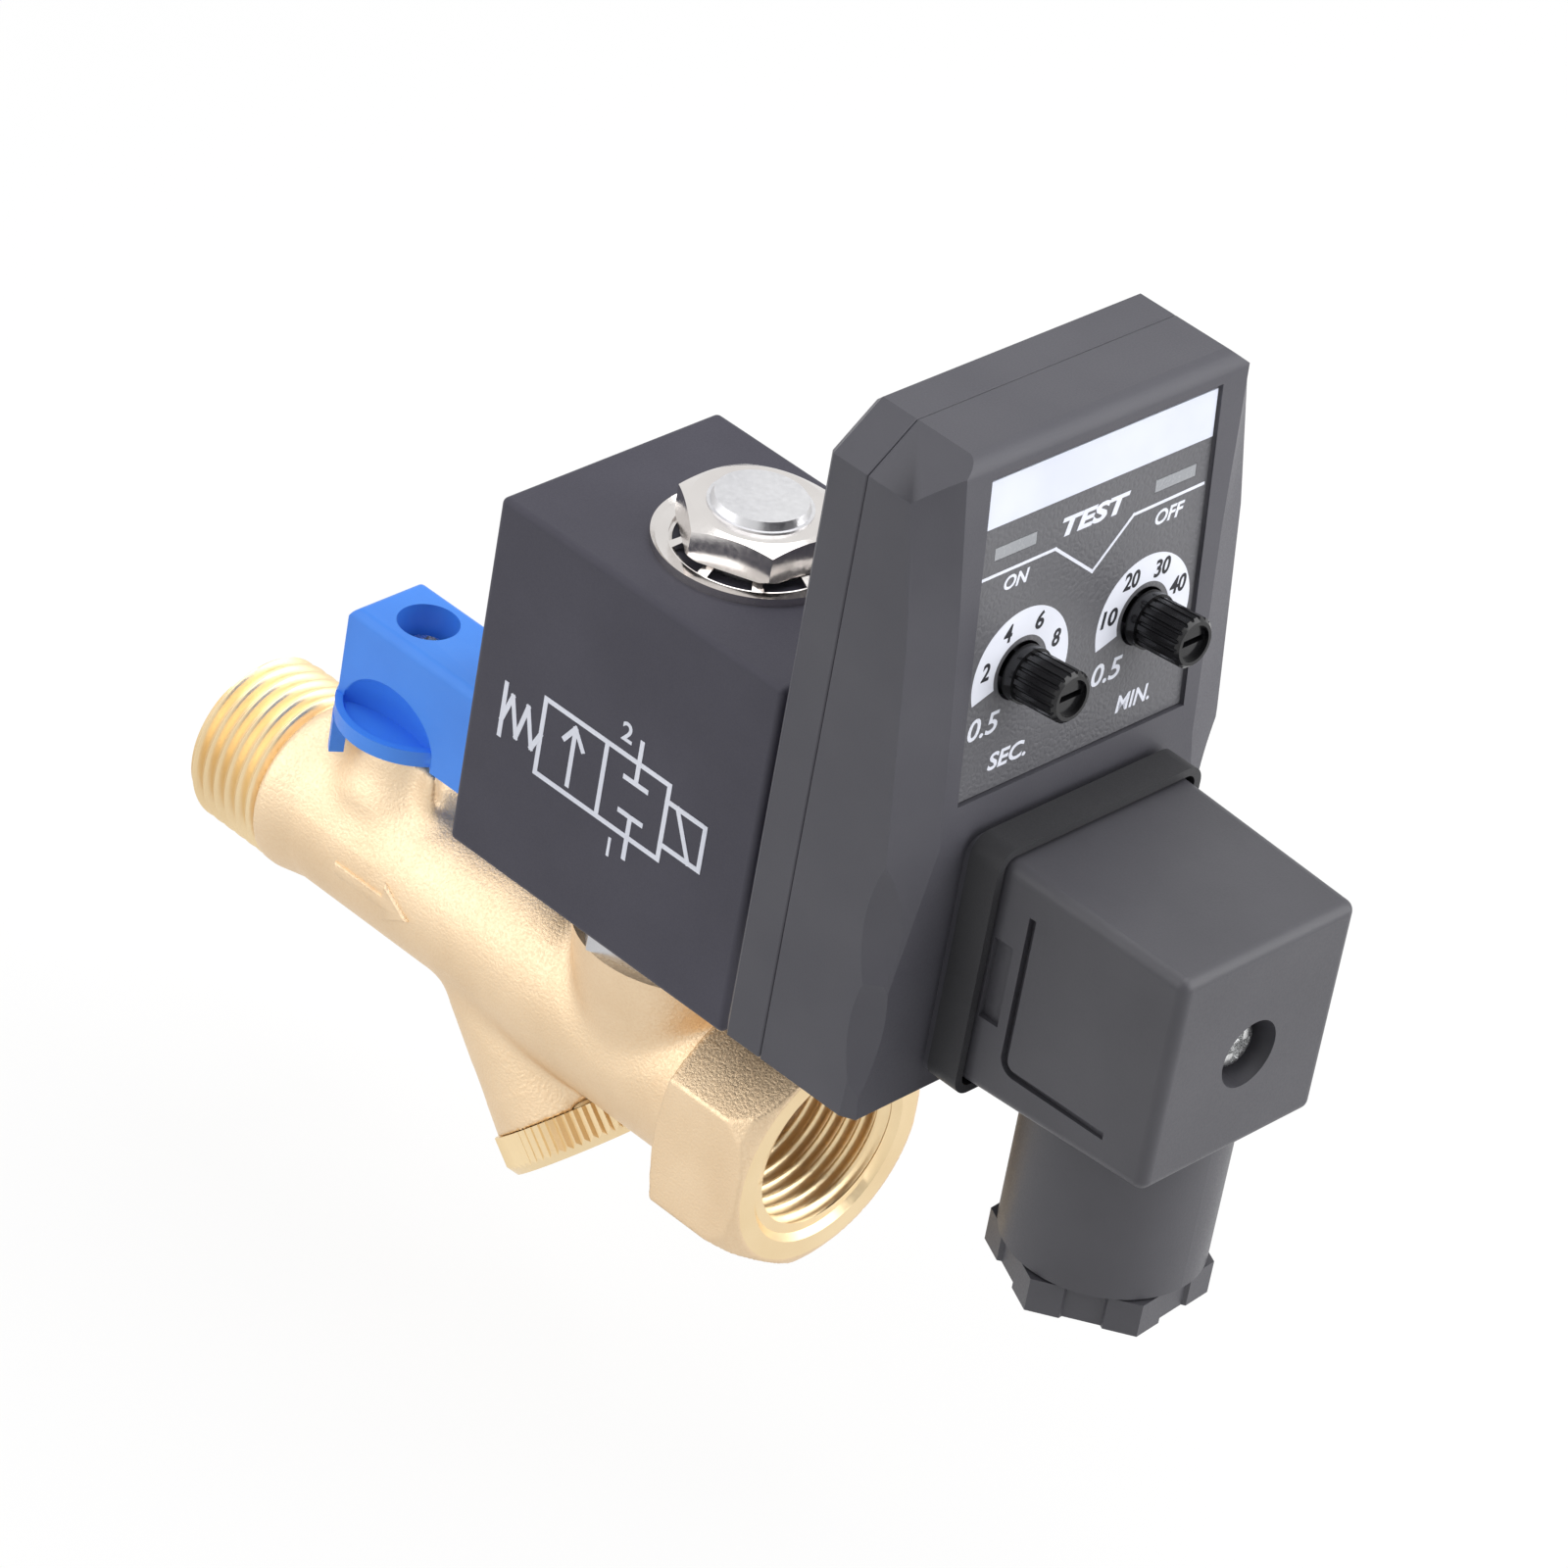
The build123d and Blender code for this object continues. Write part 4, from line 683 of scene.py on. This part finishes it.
timer_abs = finish("timer housing", (0.064, 0.063, 0.076), (0.074, 0.073, 0.086), 0.2 * mm,
                   0.010 * mm, (0.40, 0.54), specular=0.35)
facet_round = 0.9 * mm
parting_round = 0.22 * mm
parting_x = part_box("timer_back_shell")[1].x / mm
timer_low, timer_high = [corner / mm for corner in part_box("timer_front_shell")]
facet_start = 18.0
corner_cut_across = 6.0
corner_cut_up = 4.6
corner_cut_depth = 3.6


def on_front_facets(place):
    """Whether a point, in millimetres, is on the front shell's outer facets."""
    return place.x > parting_x + 0.1 and abs(place.y) > facet_start


def on_parting(place):
    """Whether a point, in millimetres, is on the outer edge where the two shells meet."""
    side = timer_high.y - abs(place.y)
    end = min(timer_high.z - place.z, place.z - timer_low.z)
    corner = (side / corner_cut_across + end / corner_cut_up - 1) * corner_cut_depth
    return abs(place.x - parting_x) < 0.05 and min(side, end, corner) < 0.1


front_form = softened("timer_front_shell", (facet_round, 9, on_front_facets),
                      (parting_round, 80, on_parting))
back_form = softened("timer_back_shell", (parting_round, 80, on_parting))
for name, form in (("soft_front_shell", front_form), ("soft_back_shell", back_form)):
    shell = model(name, form, timer_abs, "valve", smooth=30, level=True)
    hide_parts(name.replace("soft", "timer"))

# ------------------------------------------------------------------ front panel
# A screen-printed sheet in the housing's recess: dials, words and a trace in white on a
# grained grey film, two clear windows, and a blank writing strip.


def panel_material():
    """Grey film with a fine leather grain."""
    made = finish("panel film", (0.098, 0.098, 0.108), (0.112, 0.112, 0.122), 0.4 * mm,
                  0.02 * mm, (0.34, 0.5), specular=0.4)
    tree = made.node_tree
    place, cells, bump = branch_nodes(tree, "TexCoord", "TexVoronoi", "Bump")
    cells.feature = "DISTANCE_TO_EDGE"
    cells.inputs["Scale"].default_value = 1 / (0.75 * mm)
    tree.links.new(place.outputs["Object"], cells.inputs["Vector"])
    tree.links.new(cells.outputs[0], bump.inputs["Height"])
    bump.inputs["Distance"].default_value = 0.10 * mm
    shader = tree.nodes["Principled BSDF"]
    fine = shader.inputs["Normal"].links[0].from_socket
    tree.links.new(fine, bump.inputs["Normal"])
    tree.links.new(bump.outputs[0], shader.inputs["Normal"])
    return made


front_x = 21.5 * mm
front_break = 61.0 * mm
front_lean = 0.0985
panel_depth = 0.5 * mm
trace_z = 88
trace_line = 0.35 * mm
dial_y = 9.2
dial_z = 78.0
scale_inner, scale_outer = 3.9, 7.1
numeral_ring = 5.5
numeral_half = 0.62


def on_panel(y, z, depth=panel_depth):
    """A frame on the leaning panel at a width and a height: right, up its slope, and out."""
    out = Vector((1, 0, front_lean)).normalized()
    up = Vector((-front_lean, 0, 1)).normalized()
    spot = Vector((front_x - front_lean * (z * mm - front_break), y * mm, z * mm)) - out * depth
    return Matrix(((0, up.x, out.x, spot.x), (1, up.y, out.y, spot.y),
                   (0, up.z, out.z, spot.z), (0, 0, 0, 1)))


def printed_arc(sheet, place, inner, outer, start, sweep, depth):
    """A printed stretch of ring, by its two radii and its angles in degrees."""
    arc = bmesh.new()
    first = radians(start)
    ends = [arc.verts.new((r * mm * cos(first), r * mm * sin(first), 0)) for r in (inner, outer)]
    edge = arc.edges.new(ends)
    bmesh.ops.spin(arc, geom=ends + [edge], cent=(0, 0, 0), axis=(0, 0, 1), dvec=(0, 0, 0),
                   angle=radians(sweep), steps=48)
    lifted = bmesh.ops.extrude_face_region(arc, geom=arc.faces[:])["geom"]
    bmesh.ops.translate(arc, vec=(0, 0, depth),
                        verts=[item for item in lifted if isinstance(item, bmesh.types.BMVert)])
    bmesh.ops.transform(arc, matrix=place, verts=arc.verts)
    mesh = bpy.data.meshes.new("arc")
    arc.to_mesh(mesh)
    arc.free()
    sheet.from_mesh(mesh)
    bpy.data.meshes.remove(mesh)


panel_film = panel_material()
label_film = finish("label film", (0.62, 0.65, 0.76), (0.70, 0.73, 0.83), 0.3 * mm,
                    0.003 * mm, (0.4, 0.5), specular=0.3)
window_grey = finish("window plastic", (0.26, 0.27, 0.29), (0.34, 0.35, 0.37), 0.3 * mm,
                     0.004 * mm, (0.2, 0.3))
numeral_black = finish("numeral ink", (0.020, 0.020, 0.026), (0.030, 0.030, 0.036), 0.3 * mm,
                       0.002 * mm, (0.45, 0.6), specular=0.2)
dress(panel_film, "front_panel")
dress(label_film, "label_strip")
dress(window_grey, "led_windows")

panel_print = bmesh.new()
trace = ((-16.6, 90.6), (-5.75, 90.7), (0.35, 86.1), (5.9, 90.8), (16.4, 91.0))
for index, ((y0, z0), (y1, z1)) in enumerate(zip(trace, trace[1:])):
    printed_bar(panel_print, on_panel(0, trace_z), (y0, z0 - trace_z), (y1, z1 - trace_z),
                trace_line, ink + index * ink_step)
for words, left, right, low, high, slant, weight in (
        ("TEST", -5.1, 5.0, 91.7, 93.9, 0.25, 0.04), ("ON", -13.1, -9.4, 88.3, 89.9, 0.25, 0.025),
        ("OFF", 9.4, 13.8, 88.3, 90.0, 0.25, 0.025), ("0.5", -16.2, -11.6, 71.9, 74.4, 0.2, 0.015),
        ("SEC.", -12.6, -6.9, 67.4, 69.4, 0.2, 0.025), ("0.5", 2.2, 6.8, 71.9, 74.4, 0.2, 0.015),
        ("MIN.", 6.6, 11.8, 67.4, 69.4, 0.2, 0.02)):
    printed_word(panel_print, on_panel(0, low), words, left, right, 0, high - low, ink,
                 slant, weight)
for side in (-1, 1):
    printed_arc(panel_print, on_panel(side * dial_y, dial_z), scale_inner, scale_outer, -16, 212,
                ink)
model("panel_print", panel_print, print_white, "valve")

numerals = bmesh.new()
for side, numbers in ((-1, ("2", "4", "6", "8")), (1, ("10", "20", "30", "40"))):
    for words, angle in zip(numbers, (164, 116, 66, 22)):
        half = numeral_half * len(words)
        y = side * dial_y + numeral_ring * cos(radians(angle))
        z = dial_z + numeral_ring * sin(radians(angle))
        printed_word(numerals, on_panel(0, z, panel_depth - ink), words, y - half, y + half,
                     -1.0, 1.0, ink, 0.2, 0.025)
model("dial_numerals", numerals, numeral_black, "valve")

knob_black = finish("knob black", (0.005, 0.005, 0.006), (0.009, 0.009, 0.010), 0.3 * mm,
                    0.002 * mm, (0.14, 0.24), specular=0.4)
dress(knob_black, "knob_on", "knob_off")

# ------------------------------------------------------------------ cable plug
# The square plug and its cable gland, moulded in black glass-filled nylon on a rubber frame.

plug_nylon = finish("plug nylon", (0.056, 0.055, 0.064), (0.066, 0.065, 0.075), 0.2 * mm,
                    0.010 * mm, (0.36, 0.50), specular=0.4)
gasket_rubber = finish("gasket rubber", (0.026, 0.026, 0.029), (0.034, 0.034, 0.037), 0.2 * mm,
                       0.010 * mm, (0.45, 0.6), specular=0.35)
dress(plug_nylon, "plug_housing", "gland_nut", "plug_insert")
dress(gasket_rubber, "plug_gasket", "coil_gasket")

# ------------------------------------------------------------------ inner pieces
# The plunger's spring, on a mesh of its own, and plain true finishes for what
# only shows when the part is taken apart.

spring = model("return_spring", merged_copy("plunger_spring"), stainless, "valve")
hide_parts("plunger_spring")
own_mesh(spring)

circuit_green = finish("solder mask", (0.02, 0.14, 0.06), (0.03, 0.18, 0.08), 0.5 * mm,
                       0.004 * mm, (0.25, 0.35))
copper_wire = finish("enamelled copper", (0.50, 0.20, 0.08), (0.60, 0.26, 0.10), 0.3 * mm,
                     0.02 * mm, (0.25, 0.4), metal=1.0)
tinned = finish("tinned brass", (0.66, 0.60, 0.46), (0.74, 0.68, 0.54), 0.3 * mm, 0.004 * mm,
                (0.2, 0.35), metal=1.0)
moulded_grey = finish("component case", (0.10, 0.10, 0.12), (0.13, 0.13, 0.15), 0.3 * mm,
                      0.008 * mm, (0.4, 0.5))
led_red = finish("led epoxy", (0.55, 0.05, 0.03), (0.62, 0.06, 0.04), 0.3 * mm, 0.002 * mm,
                 (0.1, 0.2))

by_slot = {
    "nickel": nickel, "screw_steel": plated_steel, "stainless": stainless,
    "coil_epoxy": coil_epoxy, "timer_abs": timer_abs, "plug_nylon": plug_nylon,
    "rubber": black_rubber, "ptfe": white_ptfe, "pcb_green": circuit_green,
    "copper": copper_wire, "contact_brass": tinned, "component_grey": moulded_grey,
    "led_red": led_red, "machined_brass": machined_brass, "cast_brass": cast_brass,
    "blue_nylon": blue_nylon, "panel_film": panel_film, "label_white": label_film,
    "window_grey": window_grey, "knob_black": knob_black,
}
for part in frame["record"]["subparts"]:
    if part["node"] not in finished:
        dress(by_slot[part["material_slot"]], part["node"])
